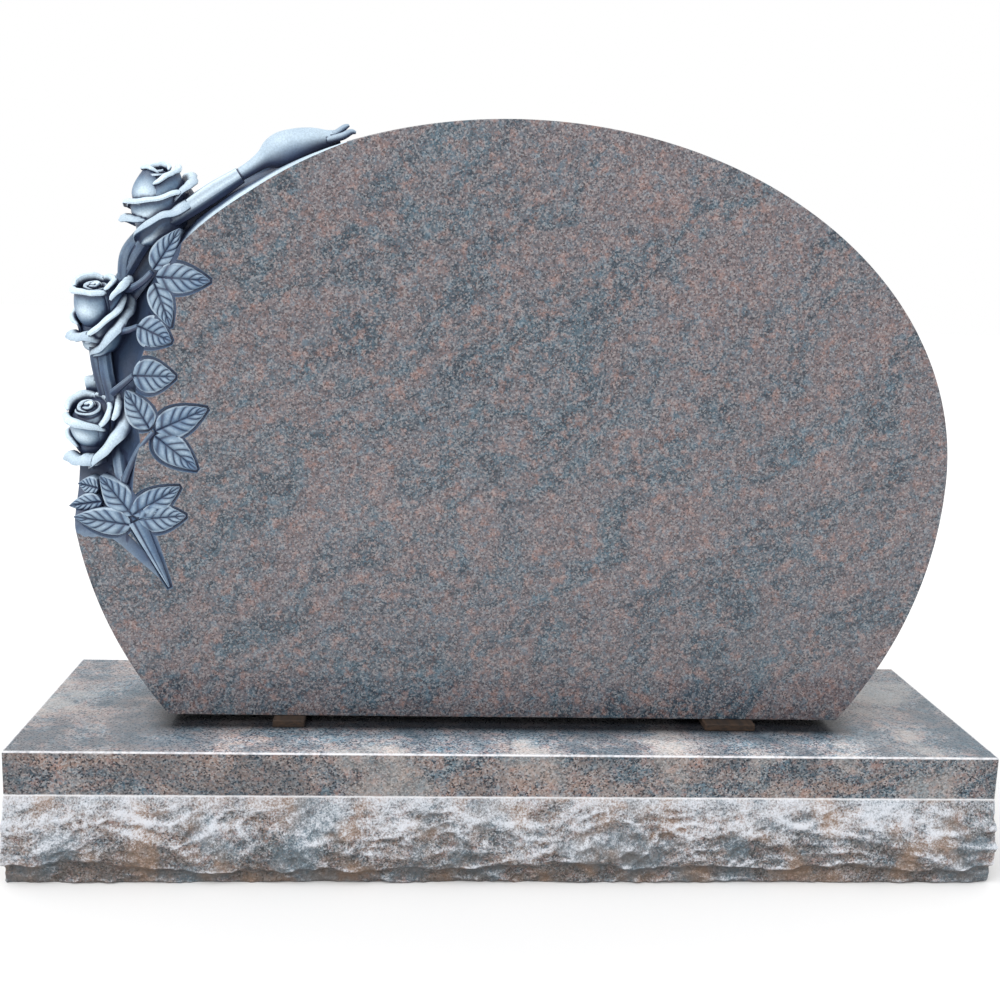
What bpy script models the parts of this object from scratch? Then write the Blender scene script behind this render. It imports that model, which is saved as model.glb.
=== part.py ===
# Granite monument: an upright oval tablet with three carved roses, on a rock-faced base.
# Metres, +Z up, the polished front faces -Y, +X is the viewer's right.
# The origin is the middle of the base's underside.

import bpy
import bmesh
import math
from mathutils import Matrix, Vector, noise

# Base stone
BASE_WIDTH = 1.220
BASE_DEPTH = 0.356
BASE_HEIGHT = 0.166
MARGIN_HEIGHT = 0.055
BASE_ARRIS = 0.0025
ROCK_BULGE_FRONT = 0.016
ROCK_BULGE_SIDE = 0.006
ROCK_FOOT_INSET = 0.005
ROCK_ROUGHNESS = 0.009
ROCK_LUMP = 0.045
ROCK_CELL = 0.044
ROCK_BELLY_SHARE = 0.62

# Tablet: two half ellipses that share the widest line, cut flat at the foot
TABLET_THICKNESS = 0.150
TABLET_HALF_WIDTH = 0.553
TABLET_WIDEST_HEIGHT = 0.501
TABLET_UPPER_RISE = 0.4234
TABLET_LOWER_DROP = 0.5268
TABLET_ARRIS = 0.002
TABLET_SEGMENTS = 64

# Wooden packers that the tablet stands on
SEAT_CLEARANCE = 0.0003
PACKER_THICKNESS = 0.009
PACKER_LEFT_WIDTH = 0.040
PACKER_RIGHT_WIDTH = 0.066
PACKER_LEFT_PLACE = -0.282
PACKER_RIGHT_PLACE = 0.288
PACKER_PROUD = 0.018
PACKER_BACK_MARGIN = 0.012
PACKER_ARRIS = 0.0008

# Carving
LEAF_GROOVE_WIDTH = 0.0028
LEAF_GROOVE_DEPTH = 0.0045
LEAF_CREST_DEPTH = 0.0006
LEAF_FOLD = 0.0032
LEAF_ROOT = 0.003
LEAF_LENGTH_CELLS = 6
LEAF_WIDTH_CELLS = 4
PETAL_THICKNESS = 0.0040
HEART_PETAL_THICKNESS = 0.0022
PETAL_ROUND_CELLS = 5
PETAL_RISE_CELLS = 4
HEART_ROUND_CELLS = 4
HEART_RISE_CELLS = 2
STEM_RESOLUTION = 1
BUD_RESOLUTION = 2
SMALLEST_CHIP = 1e-9

MM = 0.001

PACKER_UNDERSIDE = BASE_HEIGHT + SEAT_CLEARANCE
FOOT_HEIGHT = PACKER_UNDERSIDE + PACKER_THICKNESS + SEAT_CLEARANCE
FACE_Y = -TABLET_THICKNESS / 2

# Ground cut back behind the flowers, by angle round the oval from its widest point on the left:
# angle, where it leaves the face, a shelf and its depth, depth at the outline (mm from the outline)
GROUND = [
    (-12.5, -62.0, -52.0, 0.3, -0.5),
    (-10.5, -70.0, -58.0, 6.0, -0.5),
    (-8.5, -74.0, -60.0, 12.0, 4.0),
    (-6.5, -76.0, -62.0, 15.0, 24.0),
    (-4.5, -77.0, -64.0, 19.0, 44.0),
    (-2.0, -80.0, -68.0, 26.0, 56.0),
    (4.0, -88.0, -74.0, 32.0, 66.0),
    (10.0, -80.0, -66.0, 32.0, 70.0),
    (18.0, -64.0, -52.0, 30.0, 72.0),
    (26.0, -56.0, -44.0, 30.0, 72.0),
    (31.0, -44.0, -32.0, 28.0, 72.0),
    (36.0, -26.0, -15.0, 26.0, 66.0),
    (40.0, -14.0, -8.0, 18.0, 50.0),
    (44.0, -12.0, -7.0, 12.0, 30.0),
    (52.0, -10.0, -5.0, 10.0, 22.0),
    (60.0, -5.0, -2.5, 5.0, 11.0),
    (67.5, -0.6, -0.3, 0.6, 1.2),
]
GROUND_STEP = 4.0

# Web of stone left behind the stems and the bud: angle and reach beyond the outline in mm
WEB = [
    (14.0, -6.0), (19.0, 3.0), (24.0, 12.0), (29.0, 20.0), (34.0, 29.0), (38.0, 36.0), (41.0, 38.0),
    (44.0, 24.0), (48.0, 18.0), (53.0, 14.0), (58.0, 10.0), (63.0, 5.0), (66.0, -2.0),
]
WEB_FRONT = 50.0
WEB_BACK = 82.0
WEB_ROOT = -12.0

# Leaves: name, base (angle, offset, depth), tip (angle, offset, depth), half width, all in mm
LEAVES = [
    ("a_upper", (34.5, -12.0, 4.0), (41.5, 1.0, 5.0), 15.5),
    ("a_middle", (34.0, -20.0, 3.0), (39.8, -68.0, 0.0), 19.5),
    ("a_lower", (33.1, -23.0, 3.0), (29.1, -70.0, 0.0), 15.5),
    ("b", (25.8, -37.0, 4.0), (26.9, -81.0, 0.0), 20.5),
    ("c", (17.4, -59.0, 2.0), (21.1, -106.0, 0.0), 22.5),
    ("d", (7.7, -96.0, 0.5), (14.2, -57.0, 2.0), 18.0),
    ("e", (7.6, -104.0, 0.5), (17.2, -156.0, 0.0), 19.5),
    ("f", (6.3, -103.0, 0.5), (-1.4, -156.0, 0.0), 19.5),
    ("g_left_upper", (-8.7, -71.0, 2.0), (-2.4, -37.0, 5.0), 18.5),
    ("g_left_lower", (-9.8, -70.0, 2.0), (-7.4, -1.0, 6.0), 16.0),
    ("g_right_upper", (-8.6, -72.0, 1.5), (-4.6, -134.0, 0.0), 18.0),
    ("g_right_lower", (-9.5, -78.0, 1.0), (-10.1, -136.0, 0.0), 19.0),
    ("h_upper", (-4.3, -32.0, 12.0), (-3.6, -6.0, 20.0), 12.0),
    ("h_lower", (-6.2, -35.0, 9.0), (-6.5, 7.0, 16.0), 12.0),
]

# Stems: name, radius, points (angle, offset, depth), radius shares
STEMS = [
    ("main", 8.0, [(-9.7, -73.0, 6.0), (-7.5, -69.0, 9.0), (-4.0, -62.0, 18.0), (-1.0, -56.0, 32.0),
                   (5.0, -44.0, 58.0), (11.1, -36.0, 48.0), (15.9, -19.0, 44.0), (21.4, 4.0, 56.0),
                   (27.9, 14.0, 50.0), (32.1, 18.0, 46.0), (35.6, 22.0, 42.0), (38.8, 24.0, 40.0)],
     [0.7, 0.85, 1.0, 1.1, 1.1, 1.1, 1.1, 1.1, 1.1, 1.1, 1.1, 1.0]),
    ("second", 7.5, [(9.0, -30.0, 62.0), (15.5, -8.0, 50.0), (19.4, 9.0, 50.0)], [1.1, 1.1, 1.0]),
    ("lower_side", 7.0, [(-8.0, -64.0, 12.0), (-3.5, -50.0, 34.0), (1.0, -36.0, 62.0)], [0.8, 1.1, 1.1]),
    ("upper_side", 8.0, [(29.0, 10.0, 48.0), (33.0, 29.0, 44.0), (37.0, 33.0, 44.0)], [1.0, 1.1, 1.0]),
    ("top", 10.5, [(38.8, 24.0, 40.0), (41.6, 18.0, 32.0), (44.5, 15.5, 30.0), (48.2, 14.5, 30.0),
                   (52.2, 15.0, 30.0)], [0.9, 1.0, 1.1, 1.15, 0.95]),
    ("petiole_d", 4.0, [(7.2, -101.0, 2.0), (3.3, -88.0, 4.0), (-1.5, -72.0, 13.0), (-4.0, -63.0, 16.0)],
     [0.9, 1.0, 1.1, 1.2]),
    ("petiole_a", 4.0, [(34.1, -13.0, 5.0), (32.1, -11.0, 12.0), (30.0, -4.0, 28.0), (28.5, 8.0, 46.0)],
     [0.9, 1.0, 1.2, 1.3]),
    ("petiole_b", 3.5, [(25.8, -38.0, 6.0), (24.0, -28.0, 18.0), (22.0, -10.0, 40.0)], [0.9, 1.1, 1.3]),
    ("petiole_c", 3.8, [(17.5, -60.0, 4.0), (14.5, -48.0, 18.0), (12.4, -38.0, 34.0)], [0.9, 1.1, 1.3]),
]

# Rosebud lying along the top of the outline: points (angle, offset, depth, radius)
BUD = [
    (51.6, 15.5, 30.0, 7.5), (54.0, 16.5, 30.0, 8.5), (55.8, 18.5, 30.0, 11.0), (57.2, 19.5, 30.0, 18.0),
    (58.8, 19.0, 30.0, 21.5), (61.0, 17.5, 30.0, 19.5), (62.9, 15.5, 30.0, 15.5), (64.6, 12.5, 30.0, 10.5),
    (66.0, 11.0, 30.0, 8.0),
]
SEPALS = [
    ("upper", [(64.0, 13.0, 28.0), (65.8, 15.0, 26.0), (67.0, 19.0, 26.0), (67.6, 20.0, 27.0)], 4.5),
    ("lower", [(64.5, 10.0, 22.0), (66.4, 9.0, 19.0), (67.6, 11.0, 19.0), (68.2, 9.0, 20.0)], 4.5),
]

# Roses: centre (angle, offset, depth), axis, heart radius, and petals in mm and degrees.
# Petal: turn round the axis from the front, half span, radius, foot height, rim height,
# rim fall at the sides, rise of the rim to the right, lip share, rolled rim's radius and bend, wave
ROSES = [
    ("upper", (41.2, 49.0, 50.0), (-0.05, -0.14, 0.99), 28.0, [
        (-34.0, 60.0, 31.5, -30.0, 38.0, 7.0, -2.0, 0.45, 1.2, 200.0, 0.6),
        (52.0, 52.0, 34.0, -28.0, 31.0, 2.0, 10.0, 0.80, 2.2, 200.0, 0.8),
        (165.0, 75.0, 33.0, -28.0, 40.0, 6.0, 0.0, 0.50, 1.2, 200.0, 0.6),
        (4.0, 74.0, 36.5, -36.0, 3.0, 2.0, 8.0, 1.03, 2.6, 190.0, 1.2),
        (-78.0, 46.0, 37.0, -38.0, 0.0, 6.0, 6.0, 1.15, 2.8, 160.0, 1.5),
        (36.0, 62.0, 37.0, -52.0, -22.0, 1.0, 20.0, 1.22, 8.0, 120.0, 2.2),
        (-60.0, 38.0, 38.0, -50.0, -28.0, 4.0, 4.0, 1.35, 5.0, 130.0, 1.5),
        (92.0, 40.0, 43.0, -38.0, 20.0, 5.0, 2.0, 1.12, 5.0, 140.0, 1.5),
    ]),
    ("middle", (24.0, 23.0, 50.0), (-0.05, -0.34, 0.94), 24.0, [
        (-20.0, 78.0, 27.0, -28.0, 27.0, 4.0, -1.0, 0.86, 2.4, 200.0, 0.6),
        (105.0, 62.0, 29.5, -30.0, 32.0, 5.0, 0.0, 0.84, 1.8, 200.0, 0.6),
        (-145.0, 62.0, 28.0, -30.0, 32.0, 5.0, 0.0, 0.84, 1.8, 200.0, 0.6),
        (34.0, 62.0, 34.0, -40.0, -4.0, 0.0, 27.0, 1.06, 3.0, 190.0, 1.0),
        (92.0, 44.0, 42.0, -38.0, 32.0, 5.0, 5.0, 1.12, 5.0, 140.0, 1.2),
        (50.0, 58.0, 40.0, -56.0, -23.0, 0.0, 30.0, 1.20, 8.0, 120.0, 2.2),
        (-28.0, 44.0, 33.0, -54.0, -37.0, 4.0, 2.0, 1.30, 6.0, 130.0, 1.5),
        (-110.0, 56.0, 31.0, -40.0, -10.0, 8.0, 0.0, 1.10, 3.0, 160.0, 1.0),
    ]),
    ("lower", (5.4, -15.0, 50.0), (-0.03, -0.50, 0.86), 24.0, [
        (-20.0, 76.0, 26.0, -30.0, 18.0, 4.0, -2.0, 0.98, 3.8, 190.0, 0.5),
        (95.0, 66.0, 29.0, -30.0, 28.0, 6.0, 0.0, 0.94, 2.2, 200.0, 0.8),
        (-150.0, 66.0, 27.0, -30.0, 28.0, 6.0, 0.0, 0.94, 2.2, 200.0, 0.8),
        (138.0, 54.0, 40.0, -38.0, 46.0, 8.0, -4.0, 1.06, 4.0, 150.0, 1.0),
        (66.0, 62.0, 39.0, -52.0, -2.0, 0.0, 36.0, 1.20, 8.0, 120.0, 1.6),
        (-10.0, 54.0, 35.0, -58.0, -38.0, 4.0, 2.0, 1.30, 7.0, 125.0, 1.5),
        (-95.0, 56.0, 30.0, -42.0, -12.0, 8.0, 0.0, 1.10, 3.0, 160.0, 1.0),
    ]),
]
# Spiral of small petals at a rose's heart: turn, half span, radius as a share, rim above the heart
HEART = [(40.0, 130.0, 0.66, 0.0), (-120.0, 130.0, 0.46, 2.0), (90.0, 140.0, 0.27, 3.5)]
ROLL_START = 0.78
BELLY_SHARE = 0.6
PETAL_NECK = 0.28
HEART_NECK = 0.85
LARGEST_BEND = 100.0


def clear_scene():
    for obj in list(bpy.data.objects):
        bpy.data.objects.remove(obj, do_unlink=True)
    for group in list(bpy.data.collections):
        bpy.data.collections.remove(group)


def new_collection(name):
    group = bpy.data.collections.new(name)
    bpy.context.scene.collection.children.link(group)
    return group


def stone(name, colour, roughness):
    material = bpy.data.materials.new(name)
    material.use_nodes = True
    shader = material.node_tree.nodes["Principled BSDF"]
    shader.inputs["Base Color"].default_value = (*colour, 1.0)
    shader.inputs["Roughness"].default_value = roughness
    shader.inputs["Metallic"].default_value = 0.0
    return material


def mesh_object(name, bm, group):
    bmesh.ops.recalc_face_normals(bm, faces=bm.faces)
    mesh = bpy.data.meshes.new(name)
    bm.to_mesh(mesh)
    bm.free()
    obj = bpy.data.objects.new(name, mesh)
    group.objects.link(obj)
    return obj


def as_tool(obj):
    obj.hide_render = True
    obj.display_type = "WIRE"
    return obj


def boolean(obj, name, operation, tool):
    modifier = obj.modifiers.new(name, "BOOLEAN")
    modifier.operation = operation
    modifier.solver = "EXACT"
    if isinstance(tool, bpy.types.Collection):
        modifier.operand_type = "COLLECTION"
        modifier.collection = tool
    else:
        modifier.object = tool
    return modifier


def ramp(value, table, column):
    """Straight-line reading of one column of a table that is sorted by its first column."""
    if value <= table[0][0]:
        return table[0][column]
    for low, high in zip(table, table[1:]):
        if value <= high[0]:
            share = (value - low[0]) / (high[0] - low[0])
            return low[column] + (high[column] - low[column]) * share
    return table[-1][column]


def outline_frame(turn):
    """Point on the oval and its outward normal, in X and Z, at an angle in radians."""
    rise = TABLET_UPPER_RISE if turn >= 0 else TABLET_LOWER_DROP
    x = -TABLET_HALF_WIDTH * math.cos(turn)
    z = TABLET_WIDEST_HEIGHT + rise * math.sin(turn)
    normal = Vector((-math.cos(turn) / TABLET_HALF_WIDTH, math.sin(turn) / rise)).normalized()
    return x, z, normal


def place(angle, offset, depth):
    """Point in the stone from angle round the oval, offset from the outline and depth in mm."""
    x, z, normal = outline_frame(math.radians(angle))
    return Vector((x + normal.x * offset * MM, FACE_Y + depth * MM, z + normal.y * offset * MM))


def angle_and_offset(x, z):
    """Angle round the oval in degrees and offset in mm of a point in the face."""
    rise = TABLET_UPPER_RISE if z >= TABLET_WIDEST_HEIGHT else TABLET_LOWER_DROP
    turn = math.atan2((z - TABLET_WIDEST_HEIGHT) / rise, -x / TABLET_HALF_WIDTH)
    offset = 0.0
    for step in range(6):
        px, pz, normal = outline_frame(turn)
        rise = TABLET_UPPER_RISE if turn >= 0 else TABLET_LOWER_DROP
        along = Vector((TABLET_HALF_WIDTH * math.sin(turn), rise * math.cos(turn)))
        apart = Vector((x - px, z - pz))
        offset = apart.dot(normal)
        turn += apart.dot(along) / along.length_squared
    return math.degrees(turn), offset / MM


def ground_depth(x, z):
    """Depth in mm of the cut ground under a point of the face."""
    angle, offset = angle_and_offset(x, z)
    if angle <= GROUND[0][0] or angle >= GROUND[-1][0]:
        return 0.0
    inner, shelf, shelf_depth, edge_depth = (ramp(angle, GROUND, column) for column in (1, 2, 3, 4))
    if offset <= inner:
        return 0.0
    if offset <= shelf:
        return shelf_depth * (offset - inner) / (shelf - inner)
    share = min(1.0, (offset - shelf) / (0.0 - shelf))
    return shelf_depth + (edge_depth - shelf_depth) * share


def tablet_slab(group):
    """The plain oval slab: one outline given its thickness, with its edges eased."""
    foot_turn = math.asin((FOOT_HEIGHT - TABLET_WIDEST_HEIGHT) / TABLET_LOWER_DROP)
    bm = bmesh.new()
    corners = []
    for index in range(TABLET_SEGMENTS + 1):
        share = index / TABLET_SEGMENTS
        turn = foot_turn + (math.pi - 2 * foot_turn) * share
        if turn > math.pi / 2:
            x, z, normal = outline_frame(math.pi - turn)
            x = -x
        else:
            x, z, normal = outline_frame(turn)
        corners.append(bm.verts.new((x, FACE_Y, z)))
    front = bm.faces.new(corners)
    moved = bmesh.ops.extrude_face_region(bm, geom=[front])
    back = [item for item in moved["geom"] if isinstance(item, bmesh.types.BMVert)]
    bmesh.ops.translate(bm, verts=back, vec=(0, TABLET_THICKNESS, 0))
    rims = [edge for edge in bm.edges if abs(edge.verts[0].co.y - edge.verts[1].co.y) < MM]
    bmesh.ops.bevel(bm, geom=rims, offset=TABLET_ARRIS, segments=1, profile=0.5, affect="EDGES",
                    clamp_overlap=True)
    return mesh_object("tablet", bm, group)


def ground_cutter(group):
    """Stone taken away behind the flowers: one section swept round the outline."""
    bm = bmesh.new()
    count = int(round((GROUND[-1][0] - GROUND[0][0]) / GROUND_STEP))
    rings = []
    for index in range(count + 1):
        angle = GROUND[0][0] + (GROUND[-1][0] - GROUND[0][0]) * index / count
        inner, shelf, shelf_depth, edge_depth = (ramp(angle, GROUND, column) for column in (1, 2, 3, 4))
        section = [(inner - 6.0, -6.0), (inner, 0.0), (shelf, shelf_depth), (0.0, edge_depth),
                   (40.0, edge_depth + 4.0), (40.0, -6.0)]
        rings.append([bm.verts.new(place(angle, offset, depth)) for offset, depth in section])
    for low, high in zip(rings, rings[1:]):
        for index in range(len(low)):
            after = (index + 1) % len(low)
            bm.faces.new((low[index], low[after], high[after], high[index]))
    bm.faces.new(rings[0])
    bm.faces.new(rings[-1])
    return as_tool(mesh_object("ground_cutter", bm, group))


def web(group):
    """Stone left standing behind the stems: a band that widens beyond the outline."""
    bm = bmesh.new()
    rings = []
    for angle, reach in WEB:
        section = [(WEB_ROOT, WEB_FRONT), (reach, WEB_FRONT), (reach, WEB_BACK), (WEB_ROOT, WEB_BACK)]
        rings.append([bm.verts.new(place(angle, offset, depth)) for offset, depth in section])
    for low, high in zip(rings, rings[1:]):
        for index in range(len(low)):
            after = (index + 1) % len(low)
            bm.faces.new((low[index], low[after], high[after], high[index]))
    bm.faces.new(rings[0])
    bm.faces.new(rings[-1])
    return as_tool(mesh_object("web", bm, group))


def leaf_width(share, slender):
    """Width of a leaf along its length as a share of its widest."""
    if slender:
        return 0.12 + 0.88 * (1.0 - share) ** 0.9
    swell = (share ** 0.62) * ((1.0 - share) ** 0.72) / 0.3985
    return 0.05 + 0.95 * min(1.0, swell)


def leaf_frame(base, tip):
    start = place(*base)
    end = place(*tip)
    along = end - start
    across = Vector((along.z, 0.0, -along.x)).normalized()
    return start, end, across


def leaf(name, base, tip, half_width, group, slender=False):
    """A leaf folded along its midrib, with a root that runs down into the ground."""
    start, end, across = leaf_frame(base, tip)
    bm = bmesh.new()
    bmesh.ops.create_grid(bm, x_segments=LEAF_LENGTH_CELLS, y_segments=LEAF_WIDTH_CELLS, size=1.0)
    for vert in bm.verts:
        share = (vert.co.x + 1.0) / 2.0
        side = vert.co.y
        width = half_width * MM * leaf_width(share, slender)
        point = start.lerp(end, share) + across * (side * width)
        swell = math.sin(math.pi * min(1.0, 0.12 + 0.88 * abs(side))) ** 0.8
        full = min(1.0, width / (0.6 * half_width * MM))
        fold = -LEAF_FOLD * (1.0 - swell) * full
        if slender:
            fold = -LEAF_FOLD * 0.8 * abs(side)
        point.y += LEAF_CREST_DEPTH - fold
        vert.co = point
    floor = {}
    for vert in bm.verts:
        floor[vert] = max(ground_depth(vert.co.x, vert.co.z) * MM, vert.co.y - FACE_Y, LEAF_GROOVE_DEPTH)
    top = list(bm.faces)
    deepest = max(floor.values()) + LEAF_ROOT
    moved = bmesh.ops.extrude_face_region(bm, geom=top)
    for item in moved["geom"]:
        if isinstance(item, bmesh.types.BMVert):
            item.co.y = FACE_Y + deepest
    return as_tool(mesh_object("leaf_" + name, bm, group))


def leaf_pocket(name, base, tip, half_width, group, slender=False):
    """Cutter for the groove that rings a leaf."""
    start, end, across = leaf_frame(base, tip)
    along = (end - start).normalized()
    bm = bmesh.new()
    bmesh.ops.create_grid(bm, x_segments=LEAF_LENGTH_CELLS, y_segments=1, size=1.0)
    for vert in bm.verts:
        share = (vert.co.x + 1.0) / 2.0
        side = vert.co.y
        width = half_width * MM * leaf_width(share, slender) + LEAF_GROOVE_WIDTH
        point = start.lerp(end, share) + across * (side * width)
        point += along * (LEAF_GROOVE_WIDTH * (2.0 * share - 1.0))
        point.y = FACE_Y + LEAF_GROOVE_DEPTH
        vert.co = point
    moved = bmesh.ops.extrude_face_region(bm, geom=list(bm.faces))
    for item in moved["geom"]:
        if isinstance(item, bmesh.types.BMVert):
            item.co.y = FACE_Y - 0.01
    return as_tool(mesh_object("pocket_" + name, bm, group))


def tube(name, points, radii, resolution, group):
    """A carved stem: a poly curve with a radius at each point, made a closed mesh."""
    curve = bpy.data.curves.new(name, "CURVE")
    curve.dimensions = "3D"
    curve.bevel_depth = 1.0
    curve.bevel_resolution = resolution
    curve.use_fill_caps = True
    spline = curve.splines.new("POLY")
    spline.points.add(len(points) - 1)
    for target, point, radius in zip(spline.points, points, radii):
        target.co = (*point, 1.0)
        target.radius = radius
    raw = bpy.data.objects.new(name + "_curve", curve)
    group.objects.link(raw)
    bpy.context.view_layer.update()
    depsgraph = bpy.context.evaluated_depsgraph_get()
    mesh = bpy.data.meshes.new_from_object(raw.evaluated_get(depsgraph))
    bm = bmesh.new()
    bm.from_mesh(mesh)
    bmesh.ops.remove_doubles(bm, verts=bm.verts, dist=0.00005)
    bmesh.ops.recalc_face_normals(bm, faces=bm.faces)
    bm.to_mesh(mesh)
    bm.free()
    obj = bpy.data.objects.new(name, mesh)
    obj.matrix_world = raw.matrix_world.copy()
    group.objects.link(obj)
    bpy.data.objects.remove(raw, do_unlink=True)
    return as_tool(obj)


def rose_frame(centre, axis):
    """Middle of a rose and its axes: front, right and up along the flower."""
    middle = place(*centre)
    up = Vector(axis).normalized()
    front = Vector((0.0, -1.0, 0.0))
    front = (front - up * front.dot(up)).normalized()
    right = up.cross(front) * -1.0
    if right.x < 0:
        right = right * -1.0
    return middle, front, right, up


def petal_rise(step):
    """Rise up a petal for an even step: the last quarter of the rows is the rolled rim."""
    if step <= 0.75:
        return ROLL_START * step / 0.75
    return ROLL_START + (1.0 - ROLL_START) * (step - 0.75) / 0.25


def petal_point(side, rise, sizes, neck, front, right, up):
    """Point of a petal in mm from the rose's middle: side -1 to 1 across, rise 0 to 1 up to its rim."""
    turn, span, radius, foot, rim, fall, lean, lip, roll, bend, wave = sizes
    azimuth = math.radians(turn + span * side)
    top = rim - fall * abs(side) ** 2.5 + lean * side
    top += wave * math.sin(5.3 * side + radius) + 0.5 * wave * math.sin(11.0 * side + rim)
    share = min(1.0, rise / ROLL_START)
    height = foot + (top - foot) * share
    if share < BELLY_SHARE:
        cup = neck + (1.0 - neck) * math.sin(math.pi / 2 * share / BELLY_SHARE)
    else:
        cup = 1.0 + (lip - 1.0) * ((share - BELLY_SHARE) / (1.0 - BELLY_SHARE)) ** 1.6
    out = radius * cup * (1.0 - 0.10 * side ** 4)
    if rise > ROLL_START:
        curl = roll * (1.0 - 0.7 * abs(side) ** 3) * (1.0 + 0.18 * math.sin(7.0 * side + 2.0 * radius))
        angle = (rise - ROLL_START) / (1.0 - ROLL_START) * math.radians(min(bend, LARGEST_BEND))
        out += curl * (1.0 - math.cos(angle))
        height += curl * math.sin(angle)
    return front * (math.cos(azimuth) * out) + right * (math.sin(azimuth) * out) + up * height


def petal(name, frame, sizes, cells, neck, thickness, group):
    """One petal: a cupped sheet round the rose's axis, given its thickness."""
    middle, front, right, up = frame
    bm = bmesh.new()
    bmesh.ops.create_grid(bm, x_segments=cells[0], y_segments=cells[1], size=1.0)
    for vert in bm.verts:
        rise = petal_rise((vert.co.y + 1.0) / 2.0)
        vert.co = middle + petal_point(vert.co.x, rise, sizes, neck, front, right, up) * MM
    sheet = mesh_object("petal_" + name, bm, group)
    away = sheet.data.polygons[len(sheet.data.polygons) // 2]
    outward = (away.center - middle).dot(away.normal) > 0
    solid = sheet.modifiers.new("thickness", "SOLIDIFY")
    solid.thickness = thickness
    solid.offset = -1.0 if outward else 1.0
    solid.use_even_offset = False
    return as_tool(sheet)


def rose(name, centre, axis, heart, petals, group):
    """A rose: a full heart, its petals, and the stone left behind it."""
    frame = rose_frame(centre, axis)
    middle, front, right, up = frame
    turn = Matrix((right, front * -1.0, up)).transposed().to_4x4()
    parts = [("heart", (0.0, 0.0, heart * 0.1), (heart, heart, heart * 1.02)),
             ("cup", (0.0, 2.0, heart * -0.85), (heart * 1.3, heart * 1.3, heart * 1.1))]
    for label, shift, radii in parts:
        bm = bmesh.new()
        bmesh.ops.create_uvsphere(bm, u_segments=10, v_segments=6, radius=1.0)
        bmesh.ops.scale(bm, verts=bm.verts, vec=Vector(radii) * MM)
        bmesh.ops.translate(bm, verts=bm.verts, vec=Vector(shift) * MM)
        bmesh.ops.transform(bm, matrix=Matrix.Translation(middle) @ turn, verts=bm.verts)
        as_tool(mesh_object(f"{label}_{name}", bm, group))
    for index, sizes in enumerate(petals):
        petal(f"{name}_{index + 1}", frame, sizes, (PETAL_ROUND_CELLS, PETAL_RISE_CELLS),
              PETAL_NECK, PETAL_THICKNESS, group)
    for index, (turned, span, radius, rim) in enumerate(HEART):
        sizes = (turned, span, heart * radius, heart * 0.4, heart * 1.05 + rim, 1.5, 0.0, 0.92,
                 1.0, 60.0, 0.0)
        petal(f"{name}_heart_{index + 1}", frame, sizes, (HEART_ROUND_CELLS, HEART_RISE_CELLS),
              HEART_NECK, HEART_PETAL_THICKNESS, group)
    # Stone left behind the flower ties it to the slab
    bm = bmesh.new()
    bmesh.ops.create_uvsphere(bm, u_segments=10, v_segments=6, radius=1.0)
    bmesh.ops.scale(bm, verts=bm.verts, vec=Vector((38.0, 30.0, 40.0)) * MM)
    angle, offset, depth = centre
    shift = place(angle, offset - 12.0, depth + 18.0)
    bmesh.ops.translate(bm, verts=bm.verts, vec=shift)
    as_tool(mesh_object("boss_" + name, bm, group))


def build_tablet(parts, cutters, carving, pockets, material):
    tablet = tablet_slab(parts)
    tablet.data.materials.append(material)
    boolean(tablet, "ground", "DIFFERENCE", ground_cutter(cutters))
    web(carving)
    tail = ("tail", (-9.7, -75.0, 0.0), (-21.4, -89.5, 0.0), 10.0)
    for name, base, tip, half_width in LEAVES:
        leaf(name, base, tip, half_width, carving)
        leaf_pocket(name, base, tip, half_width, pockets)
    leaf(*tail, carving, slender=True)
    leaf_pocket(*tail, pockets, slender=True)
    for name, radius, points, shares in STEMS:
        tube("stem_" + name, [place(*point) for point in points],
             [radius * share * MM for share in shares], STEM_RESOLUTION, carving)
    tube("bud", [place(*point[:3]) for point in BUD], [point[3] * MM for point in BUD],
         BUD_RESOLUTION, carving)
    for name, points, radius in SEPALS:
        tube("sepal_" + name, [place(*point) for point in points],
             [radius * share * MM for share in (1.0, 1.0, 0.8, 0.4)], STEM_RESOLUTION, carving)
    for name, centre, axis, heart, petals in ROSES:
        rose(name, centre, axis, heart, petals, carving)
    boolean(tablet, "pockets", "DIFFERENCE", pockets)
    boolean(tablet, "carving", "UNION", carving)
    bpy.context.view_layer.update()
    return fill_pockets(tablet)


def shells_of(bm):
    """Closed shells of a mesh, each with its faces and its signed volume."""
    waiting = set(bm.faces)
    shells = []
    while waiting:
        front = [waiting.pop()]
        faces = []
        volume = 0.0
        while front:
            face = front.pop()
            faces.append(face)
            corners = [vert.co for vert in face.verts]
            for one, two in zip(corners[1:], corners[2:]):
                volume += corners[0].dot(one.cross(two)) / 6.0
            for edge in face.edges:
                if len(edge.link_faces) > 2:
                    continue
                for other in edge.link_faces:
                    if other in waiting:
                        waiting.remove(other)
                        front.append(other)
        shells.append((faces, volume))
    return shells


def fill_pockets(obj):
    """Fix the cuts and joins in the mesh, and fill air sealed between petals: the stone is solid."""
    depsgraph = bpy.context.evaluated_depsgraph_get()
    mesh = bpy.data.meshes.new_from_object(obj.evaluated_get(depsgraph))
    bm = bmesh.new()
    bm.from_mesh(mesh)
    bmesh.ops.triangulate(bm, faces=bm.faces)
    for faces, volume in shells_of(bm):
        if volume < SMALLEST_CHIP:
            bmesh.ops.delete(bm, geom=faces, context="FACES")
    bm.to_mesh(mesh)
    bm.free()
    obj.modifiers.clear()
    obj.data = mesh
    return obj


def rock_reach(share):
    """How far the rock face stands out down its height, as a share of its bulge."""
    if share < ROCK_BELLY_SHARE:
        return math.sin(math.pi / 2 * share / ROCK_BELLY_SHARE)
    return math.cos(math.pi / 2 * (share - ROCK_BELLY_SHARE) / (1.0 - ROCK_BELLY_SHARE))


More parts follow.
